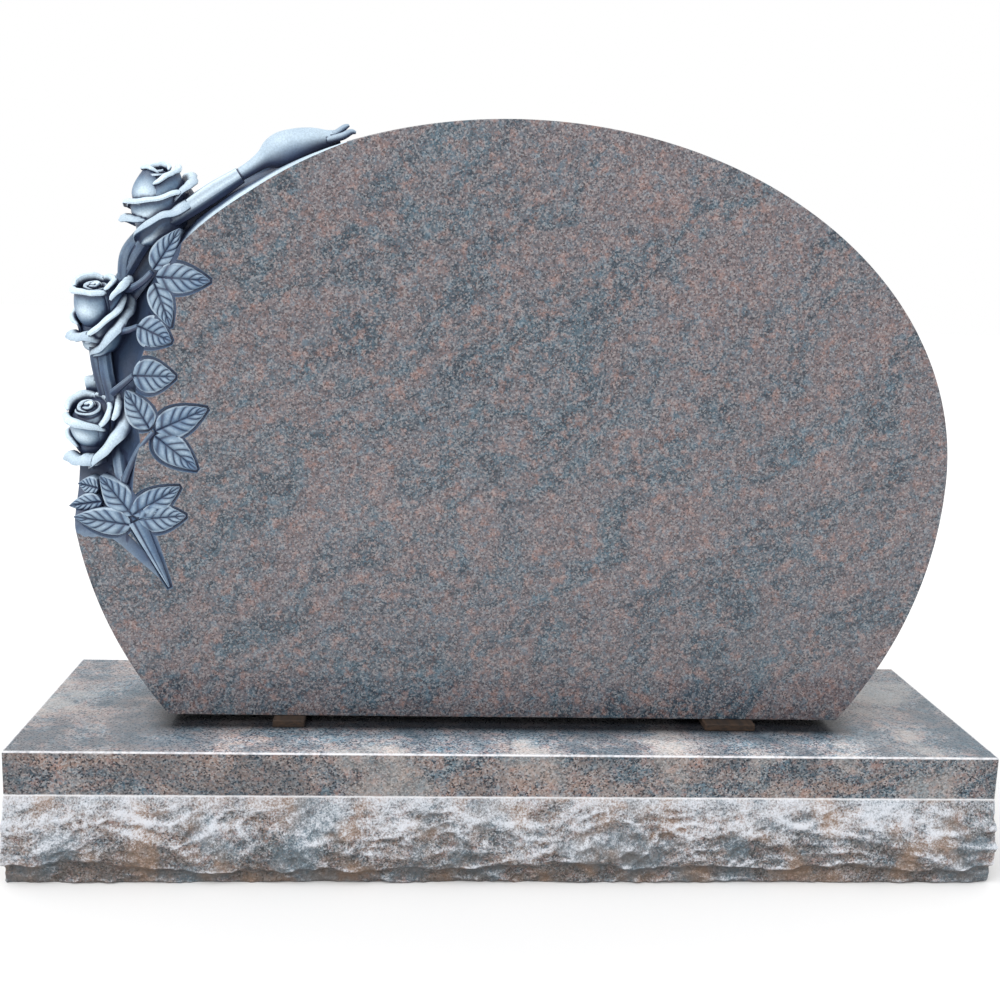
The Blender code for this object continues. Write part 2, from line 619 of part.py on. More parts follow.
def build_base(parts, material):
    """A block with a polished top and margin, and rock-faced sides below it."""
    bm = bmesh.new()
    bmesh.ops.create_cube(bm, size=1.0)
    bmesh.ops.scale(bm, verts=bm.verts, vec=(BASE_WIDTH, BASE_DEPTH, BASE_HEIGHT))
    bmesh.ops.translate(bm, verts=bm.verts, vec=(0, 0, BASE_HEIGHT / 2))
    margin_z = BASE_HEIGHT - MARGIN_HEIGHT
    rows = [margin_z * share for share in (0.18, 0.36, 0.56, 0.78, 1.0)]
    cuts = [(Vector((0, 0, z)), Vector((0, 0, 1))) for z in rows]
    for size, axis in ((BASE_WIDTH, Vector((1, 0, 0))), (BASE_DEPTH, Vector((0, 1, 0)))):
        count = max(2, int(round(size / ROCK_CELL)))
        for index in range(1, count):
            cuts.append((axis * (size * (index / count - 0.5)), axis))
    for spot, normal in cuts:
        low = [face for face in bm.faces
               if abs(face.normal.z) < 0.5 and (normal.z > 0.5 or face.calc_center_median().z < margin_z)]
        edges = {edge for face in low for edge in face.edges}
        bmesh.ops.bisect_plane(bm, geom=low + list(edges), plane_co=spot, plane_no=normal, dist=1e-6)
    for vert in bm.verts:
        if vert.co.z > margin_z - MM:
            continue
        share = 1.0 - vert.co.z / margin_z
        reach = rock_reach(share)
        rough = noise.fractal(vert.co / ROCK_LUMP, 1.0, 2.0, 3)
        push = ROCK_ROUGHNESS * min(0.0, rough - 0.1) * min(1.0, 4.0 * share)
        inset = ROCK_FOOT_INSET if share > 0.99 else 0.0
        if abs(vert.co.x) > BASE_WIDTH / 2 - MM:
            bulge = ROCK_BULGE_SIDE * reach + push * 0.5 - inset
            vert.co.x += math.copysign(bulge, vert.co.x)
        if abs(vert.co.y) > BASE_DEPTH / 2 - MM:
            bulge = ROCK_BULGE_FRONT * reach + push - inset
            vert.co.y += math.copysign(bulge, vert.co.y)
    top = [edge for edge in bm.edges if all(v.co.z > BASE_HEIGHT - MM for v in edge.verts)]
    bmesh.ops.bevel(bm, geom=top, offset=BASE_ARRIS, segments=2, profile=0.5, affect="EDGES",
                    clamp_overlap=True)
    base = mesh_object("base", bm, parts)
    base.data.materials.append(material)
    return base


def build_packer(name, width, centre, parts, material):
    """A wooden slip between the base and the tablet, with its front end showing."""
    front = FACE_Y - PACKER_PROUD
    back = TABLET_THICKNESS / 2 - PACKER_BACK_MARGIN
    bm = bmesh.new()
    bmesh.ops.create_cube(bm, size=1.0)
    bmesh.ops.scale(bm, verts=bm.verts, vec=(width, back - front, PACKER_THICKNESS))
    bmesh.ops.bevel(bm, geom=list(bm.edges), offset=PACKER_ARRIS, segments=1, profile=0.5, affect="EDGES")
    packer = mesh_object(name, bm, parts)
    packer.location = (centre, (front + back) / 2, PACKER_UNDERSIDE + PACKER_THICKNESS / 2)
    packer.data.materials.append(material)
    return packer


def main():
    clear_scene()
    parts = new_collection("granite_monument")
    cutters = new_collection("cutters")
    pockets = new_collection("pockets")
    carving = new_collection("carving")
    granite = stone("granite polished", (0.16, 0.13, 0.13), 0.18)
    rock = stone("granite base", (0.20, 0.19, 0.18), 0.45)
    wood = stone("packer wood", (0.22, 0.11, 0.05), 0.70)
    build_base(parts, rock)
    build_tablet(parts, cutters, carving, pockets, granite)
    build_packer("packer_left", PACKER_LEFT_WIDTH, PACKER_LEFT_PLACE, parts, wood)
    build_packer("packer_right", PACKER_RIGHT_WIDTH, PACKER_RIGHT_PLACE, parts, wood)


main()
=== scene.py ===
import math
import bpy
import bmesh
import numpy as np
from mathutils import Matrix, Vector, noise
from mathutils.bvhtree import BVHTree


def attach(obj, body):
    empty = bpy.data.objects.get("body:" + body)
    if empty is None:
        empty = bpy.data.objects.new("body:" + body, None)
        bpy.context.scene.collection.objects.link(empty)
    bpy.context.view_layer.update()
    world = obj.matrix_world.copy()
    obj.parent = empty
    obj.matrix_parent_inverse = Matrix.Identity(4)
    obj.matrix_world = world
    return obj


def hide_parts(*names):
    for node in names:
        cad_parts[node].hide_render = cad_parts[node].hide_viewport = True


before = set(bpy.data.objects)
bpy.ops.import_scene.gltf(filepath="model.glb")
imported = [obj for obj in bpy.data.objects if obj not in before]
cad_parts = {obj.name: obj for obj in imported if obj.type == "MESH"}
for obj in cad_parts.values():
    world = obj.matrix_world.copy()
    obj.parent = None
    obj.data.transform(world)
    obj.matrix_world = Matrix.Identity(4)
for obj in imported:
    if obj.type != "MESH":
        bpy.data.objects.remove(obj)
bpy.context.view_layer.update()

# Granite monument: an upright oval tablet with three carved roses, on a rock-faced base.
# Metres, +Z up, the polished front faces -Y. Tables of the carving are in mm and degrees.

MM = 0.001

# Camera of the photograph
CAMERA_PLACE = (-0.1286, -1.5819, 0.7343)
CAMERA_YAW = -4.076
CAMERA_PITCH = 10.195
CAMERA_ROLL = 1.967
CAMERA_LENS = 43.95

# Broad key light: where it stands, its strength, and its spread in degrees
KEY_TOWARDS = (-0.55, -0.62, 1.0)
KEY_STRENGTH = 1.6
KEY_SPREAD = 50.0

# Base stone
BASE_WIDTH = 1.220
BASE_DEPTH = 0.356
BASE_HEIGHT = 0.166
MARGIN_HEIGHT = 0.055
MARGIN_FOOT = BASE_HEIGHT - MARGIN_HEIGHT
BASE_ARRIS = 0.0015
BASE_CORNER = 0.0012
ROCK_BULGE_FRONT = 0.0150
ROCK_BULGE_SIDE = 0.0055
ROCK_FOOT_INSET = 0.002
ROCK_LEDGE_SHARE = 0.76
ROCK_CELL = 0.0024
ROCK_SEED = 11

# Tablet
TABLET_THICKNESS = 0.150
TABLET_HALF_WIDTH = 0.553
TABLET_WIDEST_HEIGHT = 0.501
TABLET_UPPER_RISE = 0.4234
TABLET_LOWER_DROP = 0.5268
TABLET_ARRIS = 0.0016
TABLET_SEGMENTS = 288
FOOT_HEIGHT = 0.1756
FACE_Y = -TABLET_THICKNESS / 2

# Carving
GROUND_STEP = 1.0
POCKET_FLOOR = 4.5
POCKET_FLOOR_REACH = 1.3
POCKET_FACE_REACH = 2.9
TAIL_BANK = 5.5
TAIL_RIB = 0.34
LEAF_VEINS = 6
LEAF_ROWS = 48
LEAF_COLUMNS = 22
LEAF_SWEEP = 0.27
LEAF_CREST = 0.6
LEAF_FOLD = 3.2
MIDRIB_DEPTH = 1.5
VEIN_DEPTH = 1.2
PETAL_THICKNESS = 3.4
HEART_THICKNESS = 2.6
LIP_THICKNESS = 4.4
# Strength of the painted highlight on the petals' bellies
PAINTED_BELLY_HIGHLIGHT = 1.0
STEM_SIDES = 16

# Ground cut back behind the flowers, by angle round the oval from its widest point on the left:
# angle, where it leaves the face, a shelf and its depth, depth at the outline
GROUND = [
    (-11.2, -66, -56, -0.5, -0.5), (-10.2, -71, -58, 6, -0.5), (-8.5, -74, -60, 12, 4),
    (-6.5, -76, -62, 15, 24), (-4.5, -77, -64, 19, 44), (-2, -80, -68, 26, 56),
    (4, -88, -74, 32, 66), (10, -80, -66, 32, 70), (18, -64, -52, 30, 72),
    (26, -56, -44, 30, 72), (31, -44, -32, 28, 72), (36, -26, -15, 26, 66),
    (40, -14, -8, 18, 50), (44, -12, -7, 12, 30), (52, -10, -5, 10, 22),
    (60, -5, -2.5, 5, 11), (67.5, -0.6, -0.3, 0.6, 1.2),
]

# Sloped bank cut below the lowest leaf and along the tail: edge in the face, and the foot of the slope
BANK_EDGE = [(-7.2, 3), (-8, -9), (-9.4, -21.5), (-10.9, -34), (-12.3, -47), (-15, -62),
             (-18, -76.5), (-20.6, -87)]
BANK_FOOT = [(-6, 3), (-7, -9), (-8.4, -21.5), (-9.5, -34), (-10.2, -50), (-12.4, -67),
             (-16.2, -79.5), (-20, -88.5)]
BANK_DEPTH = [9, 8, 7, 6, 5.5, 5, 4, 2]

# Web of stone left behind the stems and the bud: angle and reach beyond the outline
WEB = [
    (14, -6), (19, 3), (24, 12), (29, 20), (34, 29), (38, 36), (41, 38),
    (44, 24), (48, 18), (53, 14), (58, 10), (63, 5), (66, -2),
]
WEB_FRONT = 50.0
WEB_BACK = 82.0
WEB_ROOT = -12.0

# Leaves: name, base (angle, offset, depth), tip (angle, offset, depth), half width
LEAVES = [
    ("a_upper", (34.5, -12, 4), (41.5, 1, 5), 15.5),
    ("a_middle", (34, -20, 3), (39.8, -68, 0), 19.5),
    ("a_lower", (33.1, -23, 3), (29.1, -70, 0), 15.5),
    ("b", (25.8, -37, 4), (26.9, -81, 0), 20.5),
    ("c", (17.4, -59, 2), (21.1, -106, 0), 22.5),
    ("d", (7.7, -96, 0.5), (14.2, -57, 2), 18),
    ("e", (7.6, -104, 0.5), (17.2, -156, 0), 19.5),
    ("f", (6.3, -103, 0.5), (-1.4, -156, 0), 19.5),
    ("g_left_upper", (-8.7, -71, 2), (-2.4, -37, 5), 18.5),
    ("g_left_lower", (-10.2, -68, 0.5), (-7.8, -1, 0.8), 17.5),
    ("g_right_upper", (-8.6, -72, 1.5), (-4.6, -134, 0), 18),
    ("g_right_lower", (-9.5, -78, 1), (-10.1, -136, 0), 19),
    ("h_upper", (-4.3, -32, 12), (-3.6, -6, 20), 12),
    ("h_lower", (-6.2, -35, 9), (-6.5, 7, 16), 12),
]
TAIL = ("tail", (-9.7, -75, 0), (-21.4, -89.5, 0), 10)

# Stems: name, radius, points (angle, offset, depth), radius shares
STEMS = [
    ("main", 8, [(-9.7, -73, 10), (-7.5, -69, 12), (-4, -62, 19), (-1, -56, 32),
                   (5, -44, 58), (11.1, -36, 48), (15.9, -19, 44), (21.4, 4, 56),
                   (27.9, 14, 50), (32.1, 18, 46), (35.6, 22, 42), (38.8, 24, 40)],
     [0.7, 0.85, 1, 1.1, 1.1, 1.1, 1.1, 1.1, 1.1, 1.1, 1.1, 1]),
    ("second", 7.5, [(9, -30, 62), (15.5, -8, 50), (19.4, 9, 50)], [1.1, 1.1, 1]),
    ("lower_side", 7, [(-8, -64, 12), (-3.5, -50, 34), (1, -36, 62)], [0.8, 1.1, 1.1]),
    ("upper_side", 8, [(29, 10, 48), (33, 29, 44), (37, 33, 44)], [1, 1.1, 1]),
    ("top", 10.5, [(38.8, 24, 40), (41.6, 18, 32), (44.5, 15.5, 30), (48.2, 14.5, 30),
                   (52.2, 15, 30)], [0.9, 1, 1.1, 1.15, 0.95]),
    ("petiole_d", 4, [(7.2, -101, 2), (3.3, -88, 4), (-1.5, -72, 13), (-4, -63, 16)],
     [0.9, 1, 1.1, 1.2]),
    ("petiole_a", 4, [(34.1, -13, 5), (32.1, -11, 12), (30, -4, 28), (28.5, 8, 46)],
     [0.9, 1, 1.2, 1.3]),
    ("petiole_b", 3.5, [(25.8, -38, 6), (24, -28, 18), (22, -10, 40)], [0.9, 1.1, 1.3]),
    ("petiole_c", 3.8, [(17.5, -60, 4), (14.5, -48, 18), (12.4, -38, 34)], [0.9, 1.1, 1.3]),
]

# Rosebud lying along the top of the outline: points (angle, offset, depth, radius)
BUD = [
    (51.6, 15.5, 30, 7.5), (54, 16.5, 30, 8.5), (55.8, 18.5, 30, 11), (57.2, 19.5, 30, 18),
    (58.8, 19, 30, 21.5), (61, 17.5, 30, 19.5), (62.9, 15.5, 30, 15.5), (64.6, 12.5, 30, 10.5),
    (66, 11, 30, 8),
]
# Sepals at the bud's tip: points, radius
SEPALS = [
    ([(64, 13, 28), (65.8, 15, 26), (67, 19, 26), (67.6, 20, 27)], 4.5),
    ([(64.5, 10, 22), (66.4, 9, 19), (67.6, 11, 19), (68.2, 9, 20)], 4.5),
]

# Roses: centre (angle, offset, depth), axis, heart radius, and petals.
# Petal: turn round the axis from the front, half span, radius, foot height, rim height,
# rim fall at the sides, rise of the rim to the right, lip share, rolled rim's radius and bend, wave
ROSES = [
    ("upper", (41.2, 49, 50), (-0.05, -0.14, 0.99), 28, [
        (-34, 60, 31.5, -30, 38, 7, -2, 0.45, 1.2, 200, 0.6),
        (52, 52, 34, -28, 31, 2, 10, 0.8, 2.2, 200, 0.8),
        (165, 75, 33, -28, 40, 6, 0, 0.5, 1.2, 200, 0.6),
        (4, 74, 36.5, -36, 3, 2, 8, 1.03, 2.6, 190, 1.2),
        (-66, 50, 32, -38, -5, 5, 6, 1.05, 4, 160, 1),
        (22, 66, 34, -54, -22, 1, 24, 1.05, 9.4, 152, 2),
        (-60, 48, 29, -52, -27, 4, 2, 1.05, 9, 150, 1.2),
        (84, 44, 36, -38, 16, 5, 12, 1.06, 6.5, 140, 1.2),
    ]),
    ("middle", (24, 23, 50), (-0.05, -0.34, 0.94), 24, [
        (-20, 78, 27, -28, 27, 4, -1, 0.86, 2.4, 200, 0.6),
        (105, 62, 29.5, -30, 32, 5, 0, 0.84, 1.8, 200, 0.6),
        (-145, 62, 28, -30, 32, 5, 0, 0.84, 1.8, 200, 0.6),
        (34, 62, 34, -40, -4, 0, 27, 1.06, 3, 190, 1),
        (88, 46, 36, -38, 30, 5, 7, 1.06, 6, 140, 1.6),
        (48, 62, 33, -56, -20, 0, 33, 1.04, 8.6, 152, 2.2),
        (-32, 52, 25, -56, -34, 4, 2, 1.05, 9.4, 150, 1.6),
        (-110, 56, 27, -40, -10, 8, 0, 1.08, 2.6, 160, 1),
    ]),
    ("lower", (5.4, -15, 50), (-0.03, -0.5, 0.86), 24, [
        (-20, 78, 26, -30, 20, 15, -7, 0.98, 3.6, 190, 0.5),
        (98, 70, 28, -30, 24, 6, 10, 0.94, 2.2, 200, 0.6),
        (-150, 66, 27, -30, 28, 6, 0, 0.94, 2.2, 200, 0.8),
        (128, 64, 35, -38, 34, 4, 13, 1.05, 4.8, 150, 1),
        (62, 66, 35, -52, -3, 2, 34, 1.06, 9, 148, 1.8),
        (-14, 58, 25, -58, -37, 4, 2, 1.05, 10.2, 150, 1.6),
        (-95, 56, 25, -42, -12, 8, 0, 1.08, 2.6, 160, 1),
    ]),
]
# Spiral of small petals at a rose's heart: turn, half span, radius as a share, rim above the heart
HEART = [(40, 130, 0.66, 0), (-120, 130, 0.46, 2), (90, 140, 0.27, 3.5)]
ROLL_START = 0.78
PETAL_CELLS = (34, 24)
HEART_CELLS = (30, 10)
THIN_ROLL = 5
HIDDEN_REACH = 0.035
RAYS, QUICK_RAYS = 20, 8
TABLET_SHARP, BASE_SHARP = 42, 38

# Granite's warm, cool and seam shades on each part, in 0 to 255 values, and how its bands run
TABLET_SHADES = ((104, 94, 97), (69, 88, 100), (38, 51, 64))
BASE_SHADES = ((134, 115, 106), (82, 102, 113), (42, 54, 64))
ROCK_SHADES = ((126, 106, 94), (92, 103, 108), (56, 62, 68))
FLECK_SHADES = ((150, 116, 106), (84, 112, 128), (62, 62, 66))
TABLET_SLANT = 0.62
BASE_SLANT = 0.25
BAND_DRIFT = 0.30
BAND_STRETCH = (3.3, 8.0, 14.5)
# Fades on the base's top: the painted shadow round the tablet's foot, and the painted highlight on the strip
# in front of it
FOOT_FADE_X = (0.475, 0.425)
FOOT_FADE_Y = (0.112, 0.086)
STRIP_HIGHLIGHT_FADE_Y = (-0.114, -0.134)

# Material number of the carved faces; the polished ones have 0
CARVED = 1


# ---------------------------------------------------------------- places on the oval

def ramp(value, table, column):
    """Straight-line reading of one column of a table that is sorted by its first column."""
    return float(np.interp(value, [row[0] for row in table], [row[column] for row in table]))


def outline_frame(turn):
    """Point on the oval and its outward normal, in X and Z, at an angle in radians."""
    rise = TABLET_UPPER_RISE if turn >= 0 else TABLET_LOWER_DROP
    x = -TABLET_HALF_WIDTH * math.cos(turn)
    z = TABLET_WIDEST_HEIGHT + rise * math.sin(turn)
    normal = np.array((-math.cos(turn) / TABLET_HALF_WIDTH, math.sin(turn) / rise))
    return x, z, normal / np.linalg.norm(normal)


def place(angle, offset, depth):
    """Point in the stone from angle round the oval, offset from the outline and depth in mm."""
    x, z, normal = outline_frame(math.radians(angle))
    return np.array((x + normal[0] * offset * MM, FACE_Y + depth * MM, z + normal[1] * offset * MM))


def angle_and_offset(x, z):
    """Angle round the oval in degrees and offset in mm of a point in the face."""
    rise = TABLET_UPPER_RISE if z >= TABLET_WIDEST_HEIGHT else TABLET_LOWER_DROP
    turn = math.atan2((z - TABLET_WIDEST_HEIGHT) / rise, -x / TABLET_HALF_WIDTH)
    for _ in range(6):
        px, pz, normal = outline_frame(turn)
        rise = TABLET_UPPER_RISE if turn >= 0 else TABLET_LOWER_DROP
        along = np.array((TABLET_HALF_WIDTH * math.sin(turn), rise * math.cos(turn)))
        apart = np.array((x - px, z - pz))
        offset = apart.dot(normal)
        turn += apart.dot(along) / along.dot(along)
    return math.degrees(turn), offset / MM


def ground_profile(angle):
    """Where the cut ground leaves the face, its shelf and the shelf's depth, and its depth at the outline."""
    return [ramp(angle, GROUND, column) for column in (1, 2, 3, 4)]


def ground_depth(x, z):
    """Depth in mm of the cut ground under a point of the face."""
    angle, offset = angle_and_offset(x, z)
    if angle <= GROUND[0][0] or angle >= GROUND[-1][0]:
        return 0.0
    inner, shelf, shelf_depth, edge_depth = ground_profile(angle)
    if offset <= inner:
        return 0.0
    if offset <= shelf:
        return shelf_depth * (offset - inner) / (shelf - inner)
    return shelf_depth + (edge_depth - shelf_depth) * min(1.0, (offset - shelf) / (0.0 - shelf))


# ---------------------------------------------------------------- carved shapes

def grid_faces(index):
    return np.stack([index[:-1, :-1], index[1:, :-1], index[1:, 1:], index[:-1, 1:]], axis=-1).reshape(-1, 4)


def capped_rings(count, around):
    """Faces of a closed body made of rings of corners: the strips between them, and a cap at each end."""
    index = np.arange(count * around).reshape(count, around)
    strips = grid_faces(np.concatenate([index, index[:, :1]], axis=1))
    return strips.tolist() + [index[0].tolist(), index[-1][::-1].tolist()]


def grid_ring(index):
    """Indices round the edge of a grid, in order."""
    return np.concatenate([index[:, 0], index[-1, 1:], index[-2::-1, -1], index[0, -2:0:-1]])


def surface_normals(points):
    normals = np.cross(np.gradient(points, axis=0), np.gradient(points, axis=1))
    return normals / np.maximum(np.linalg.norm(normals, axis=2, keepdims=True), 1e-12)


def sheet(points, thickness, inward, outer, inner):
    """Closed petal from a grid of points, its thickness on the side of inward and eased to its edges.
    outer and inner hold the painted highlight and the painted shade of each side of it."""
    rows, columns = points.shape[:2]
    normals = surface_normals(points)
    middle = points[rows // 2, columns // 2]
    if normals[rows // 2, columns // 2].dot(inward - middle) < 0:
        normals = -normals
    across = np.abs(np.linspace(-1, 1, rows))[:, None, None]
    up = np.linspace(0, 1, columns)[None, :, None]
    ease = np.sqrt(np.clip(1.0 - across ** 8, 0.02, 1.0)) * np.sqrt(np.clip(1.0 - up ** 10, 0.10, 1.0))
    under = points + normals * thickness * MM * ease
    index = np.arange(rows * columns).reshape(rows, columns)
    count = rows * columns
    ring = grid_ring(index)
    after = np.roll(ring, -1)
    sides = np.stack([ring, after, after + count, ring + count], axis=-1)
    faces = np.concatenate([grid_faces(index), grid_faces(index + count)[:, ::-1], sides]).tolist()
    corners = np.concatenate([points.reshape(-1, 3), under.reshape(-1, 3)])
    pale = np.concatenate([outer[0].ravel(), inner[0].ravel()])
    painted_shade = np.concatenate([outer[1].ravel(), inner[1].ravel()])
    return corners, faces, pale, painted_shade


def tube(points, radii, sides, pale=0.0, painted_shade=0.0, ridge=0.0, ridges=5, painted_under_shade=0.0):
    """Closed round body along a line of points, with ridges along it, painted shade in its grooves and on its
    underside, and its painted highlight kept off them.
    """
    points = np.asarray(points, float)
    radii = np.asarray(radii, float)
    along = np.gradient(points, axis=0)
    along /= np.linalg.norm(along, axis=1, keepdims=True)
    guide = np.array((0.0, -1.0, 0.0)) if abs(along[0][1]) < 0.9 else np.array((1.0, 0.0, 0.0))
    first = guide - along * (along @ guide)[:, None]
    first /= np.linalg.norm(first, axis=1, keepdims=True)
    second = np.cross(along, first)
    turn = np.linspace(0, 2 * math.pi, sides, endpoint=False)
    swell = 1.0 + ridge * np.sin(ridges * turn)
    ring = first[:, None, :] * np.cos(turn)[None, :, None] + second[:, None, :] * np.sin(turn)[None, :, None]
    corners = points[:, None, :] + ring * (radii[:, None] * swell[None, :])[:, :, None]
    # Painted shade on the faces that look down, and in the grooves between the ridges
    under = np.clip(0.12 - 1.3 * ring[:, :, 2], 0, 1).ravel() * painted_under_shade
    grooves = np.tile(np.clip(-np.sin(ridges * turn), 0, 1), len(points)) if ridge else 0.0
    dark = np.clip(painted_shade + 0.45 * grooves + under, 0, 1)
    return corners.reshape(-1, 3), capped_rings(len(points), sides), pale * (1.0 - dark), dark


def ball(middle, axis, radius, reach, pale, painted_shade):
    """Round body of revolution: radius across and reach along its axis."""
    turn = np.linspace(0.02, math.pi - 0.02, 20)
    points = np.asarray(middle)[None, :] - np.asarray(axis)[None, :] * (np.cos(turn) * reach * MM)[:, None]
    return tube(points, np.sin(turn) * radius * MM, 36, pale, painted_shade)


def smooth_line(points, steps):
    """Curve through points (Catmull-Rom), with steps between neighbours; works on any columns."""
    points = np.asarray(points, float)
    padded = np.concatenate([[2 * points[0] - points[1]], points, [2 * points[-1] - points[-2]]])
    made = []
    for before, one, two, after in zip(padded, padded[1:], padded[2:], padded[3:]):
        for share in np.linspace(0, 1, steps, endpoint=False):
            made.append(0.5 * (2 * one + (two - before) * share
                               + (2 * before - 5 * one + 4 * two - after) * share ** 2
                               + (3 * one - before - 3 * two + after) * share ** 3))
    made.append(points[-1])
    return np.array(made)


def leaf_width(share, slender):
    """Width of a leaf along its length as a share of its widest."""
    share = np.clip(share, 0.0, 1.0)
    if slender:
        return 0.12 + 0.88 * (1.0 - share) ** 0.9
    return 0.04 + 0.96 * np.minimum(1.0, share ** 0.62 * (1.0 - share) ** 1.05 / 0.3324)


def leaf_axes(base, tip):
    start, end = place(*base), place(*tip)
    along = end - start
    across = np.array((along[2], 0.0, -along[0]))
    return start, along, across / np.linalg.norm(across)


def leaf(base, tip, half_width, slender=False):
    """A leaf with an engraved midrib and side veins; its rows sweep forward along the veins."""
    start, along, across = leaf_axes(base, tip)
    step, side = np.meshgrid(np.linspace(0, 1, LEAF_ROWS + 1), np.linspace(-1, 1, LEAF_COLUMNS + 1),
                             indexing="ij")
    side = np.sign(side) * np.abs(side) ** 1.15
    away = np.abs(side)
    reach = np.minimum(1.0, np.minimum(step / 0.2, (1.0 - step) / 0.33))
    share = step + (0.0 if slender else LEAF_SWEEP) * reach * away ** 1.1
    width = half_width * leaf_width(share, slender)
    full = np.minimum(1.0, width / (0.6 * half_width))
    if slender:
        rib = np.exp(-((side - TAIL_RIB) / 0.13) ** 2) * (1.0 - 0.3 * step)
        depth = LEAF_CREST + LEAF_FOLD * np.where(side > TAIL_RIB, 0.2, 0.5) * np.abs(side - TAIL_RIB) ** 1.4
        vein = np.clip(-0.1 - 0.6 * side, 0.0, 0.4)
        puff = np.where(side > 0.48, 0.9, 0.4 * np.exp(-((side + 0.05) / 0.25) ** 2))
        relief = 0.0
    else:
        swell = np.sin(math.pi * np.minimum(1.0, 0.12 + 0.88 * away)) ** 0.8
        depth = LEAF_CREST + LEAF_FOLD * (1.0 - swell) * full
        rib = np.exp(-(away * width / 1.1) ** 2) * (1.0 - 0.5 * step)
        phase = (step * LEAF_VEINS + 0.35) % 1.0
        vein = np.clip(1.0 - np.minimum(phase, 1.0 - phase) / 0.16, 0.0, 1.0)
        for fade in ((away - 0.02) * 9, (0.97 - away) * 5, step * 8, (1 - step) * 5):
            vein = vein * np.clip(fade, 0, 1)
        puff = (0.5 - 0.5 * np.cos(2 * math.pi * phase)) * np.sin(math.pi * np.clip(away, 0, 1)) * full
        relief = VEIN_DEPTH * vein - 0.55 * puff
    depth = np.maximum(depth + MIDRIB_DEPTH * rib * full + relief, 0.15)
    points = start + along * share[:, :, None] + across * (side * width * MM)[:, :, None]
    points[:, :, 1] += depth * MM
    rows, columns = points.shape[:2]
    index = np.arange(rows * columns).reshape(rows, columns)
    ring = grid_ring(index)
    deepest = max(max(ground_depth(*points.reshape(-1, 3)[i][[0, 2]]) for i in ring[::4]),
                  (points[:, :, 1].max() - FACE_Y) / MM, POCKET_FLOOR) + 3.0
    foot = points.reshape(-1, 3)[ring].copy()
    foot[:, 1] = FACE_Y + deepest * MM
    low = np.arange(len(ring)) + rows * columns
    after = np.roll(np.arange(len(ring)), -1)
    sides = np.stack([ring, ring[after], low[after], low], axis=-1)
    faces = grid_faces(index).tolist() + sides.tolist() + [low[::-1].tolist()]
    # Painted highlight on the leaf's edges and on the swells between its veins; painted shade down the midrib
    # and veins, thinly over the rest, and heavy on its sides down to the ground
    rim = np.clip((away - 0.80) / 0.08, 0, 1)
    pale = np.clip((0.0 if slender else 0.46) * rim + 0.30 * puff, 0, 1) * (1.0 - rib)
    painted_shade = np.clip(1.15 * rib + 1.1 * vein + 0.16 * (1.0 - puff), 0, 1)
    corners = np.concatenate([points.reshape(-1, 3), foot])
    pale = np.concatenate([pale.ravel(), np.zeros(len(ring))])
    return corners, faces, pale, np.concatenate([painted_shade.ravel(), np.full(len(ring), 0.9)])


def leaf_pocket(name, base, tip, half_width, group, slender=False):
    """Cutter for the sloped groove that rings a leaf."""
    start, along, across = leaf_axes(base, tip)
    direction = along / np.linalg.norm(along)
    loops = []
    for reach, depth in ((POCKET_FACE_REACH + 1.2, -2.0), (POCKET_FACE_REACH, 0.0),
                         (POCKET_FLOOR_REACH, POCKET_FLOOR)):
        loop = []
        for side in (1, -1):
            for share in np.linspace(0, 1, 25)[::side]:
                bank = TAIL_BANK * (1.0 - share) ** 0.7 if slender and side < 0 and depth <= 0.0 else 0.0
                width = half_width * leaf_width(share, slender) + reach + bank
                spot = start + along * share + across * (side * width * MM)
                spot = spot + direction * (reach * MM * (2.0 * share - 1.0))
                spot[1] = FACE_Y + depth * MM
                loop.append(spot)
        loops.append(loop)
    return cutter_from_loops("pocket_" + name, loops, group)


def cutter_from_loops(name, loops, group):
    """Closed cutter through loops of points; its faces carry the carved finish."""
    loops = np.array(loops)
    tool = mesh_piece(name, loops.reshape(-1, 3), capped_rings(*loops.shape[:2]), group)
    for face in tool.data.polygons:
        face.material_index = CARVED
    return tool


def petal_points(sizes, cells, neck, axes):
    """Grid of points of a petal: across it, and up to its rolled rim."""
    middle, front, right, up = axes
    turn, span, radius, foot, rim, fall, lean, lip, roll, bend, wave = sizes
    side = np.linspace(-1, 1, cells[0] + 1)[:, None]
    rise = np.linspace(0, 1, cells[1] + 1)[None, :]
    azimuth = np.radians(turn + span * side)
    top = rim - fall * np.abs(side) ** 2.5 + lean * side
    top = top + wave * np.sin(5.3 * side + radius) + 0.5 * wave * np.sin(11.0 * side + rim)
    share = np.minimum(1.0, rise / ROLL_START)
    height = foot + (top - foot) * share
    low = neck + (1.0 - neck) * np.sqrt(1.0 - (1.0 - np.minimum(1.0, share / 0.62)) ** 2)
    high = 1.0 + (lip - 1.0) * (1.0 - np.cos(math.pi / 2 * np.maximum(0.0, share - 0.55) / 0.45))
    out = radius * low * high * (1.0 - 0.10 * side ** 4)
    curl = roll * (1.0 - 0.6 * np.abs(side) ** 3) * (1.0 + 0.14 * np.sin(6.0 * side + 2.0 * radius)
                                                     + 0.05 * np.sin(17.0 * side + radius))
    angle = np.maximum(0.0, rise - ROLL_START) / (1.0 - ROLL_START) * math.radians(bend)
    out = out + curl * (1.0 - np.cos(angle))
    height = height + curl * np.sin(angle)
    flat = (np.cos(azimuth) * out)[:, :, None] * front + (np.sin(azimuth) * out)[:, :, None] * right
    return middle + (flat + height[:, :, None] * up) * MM


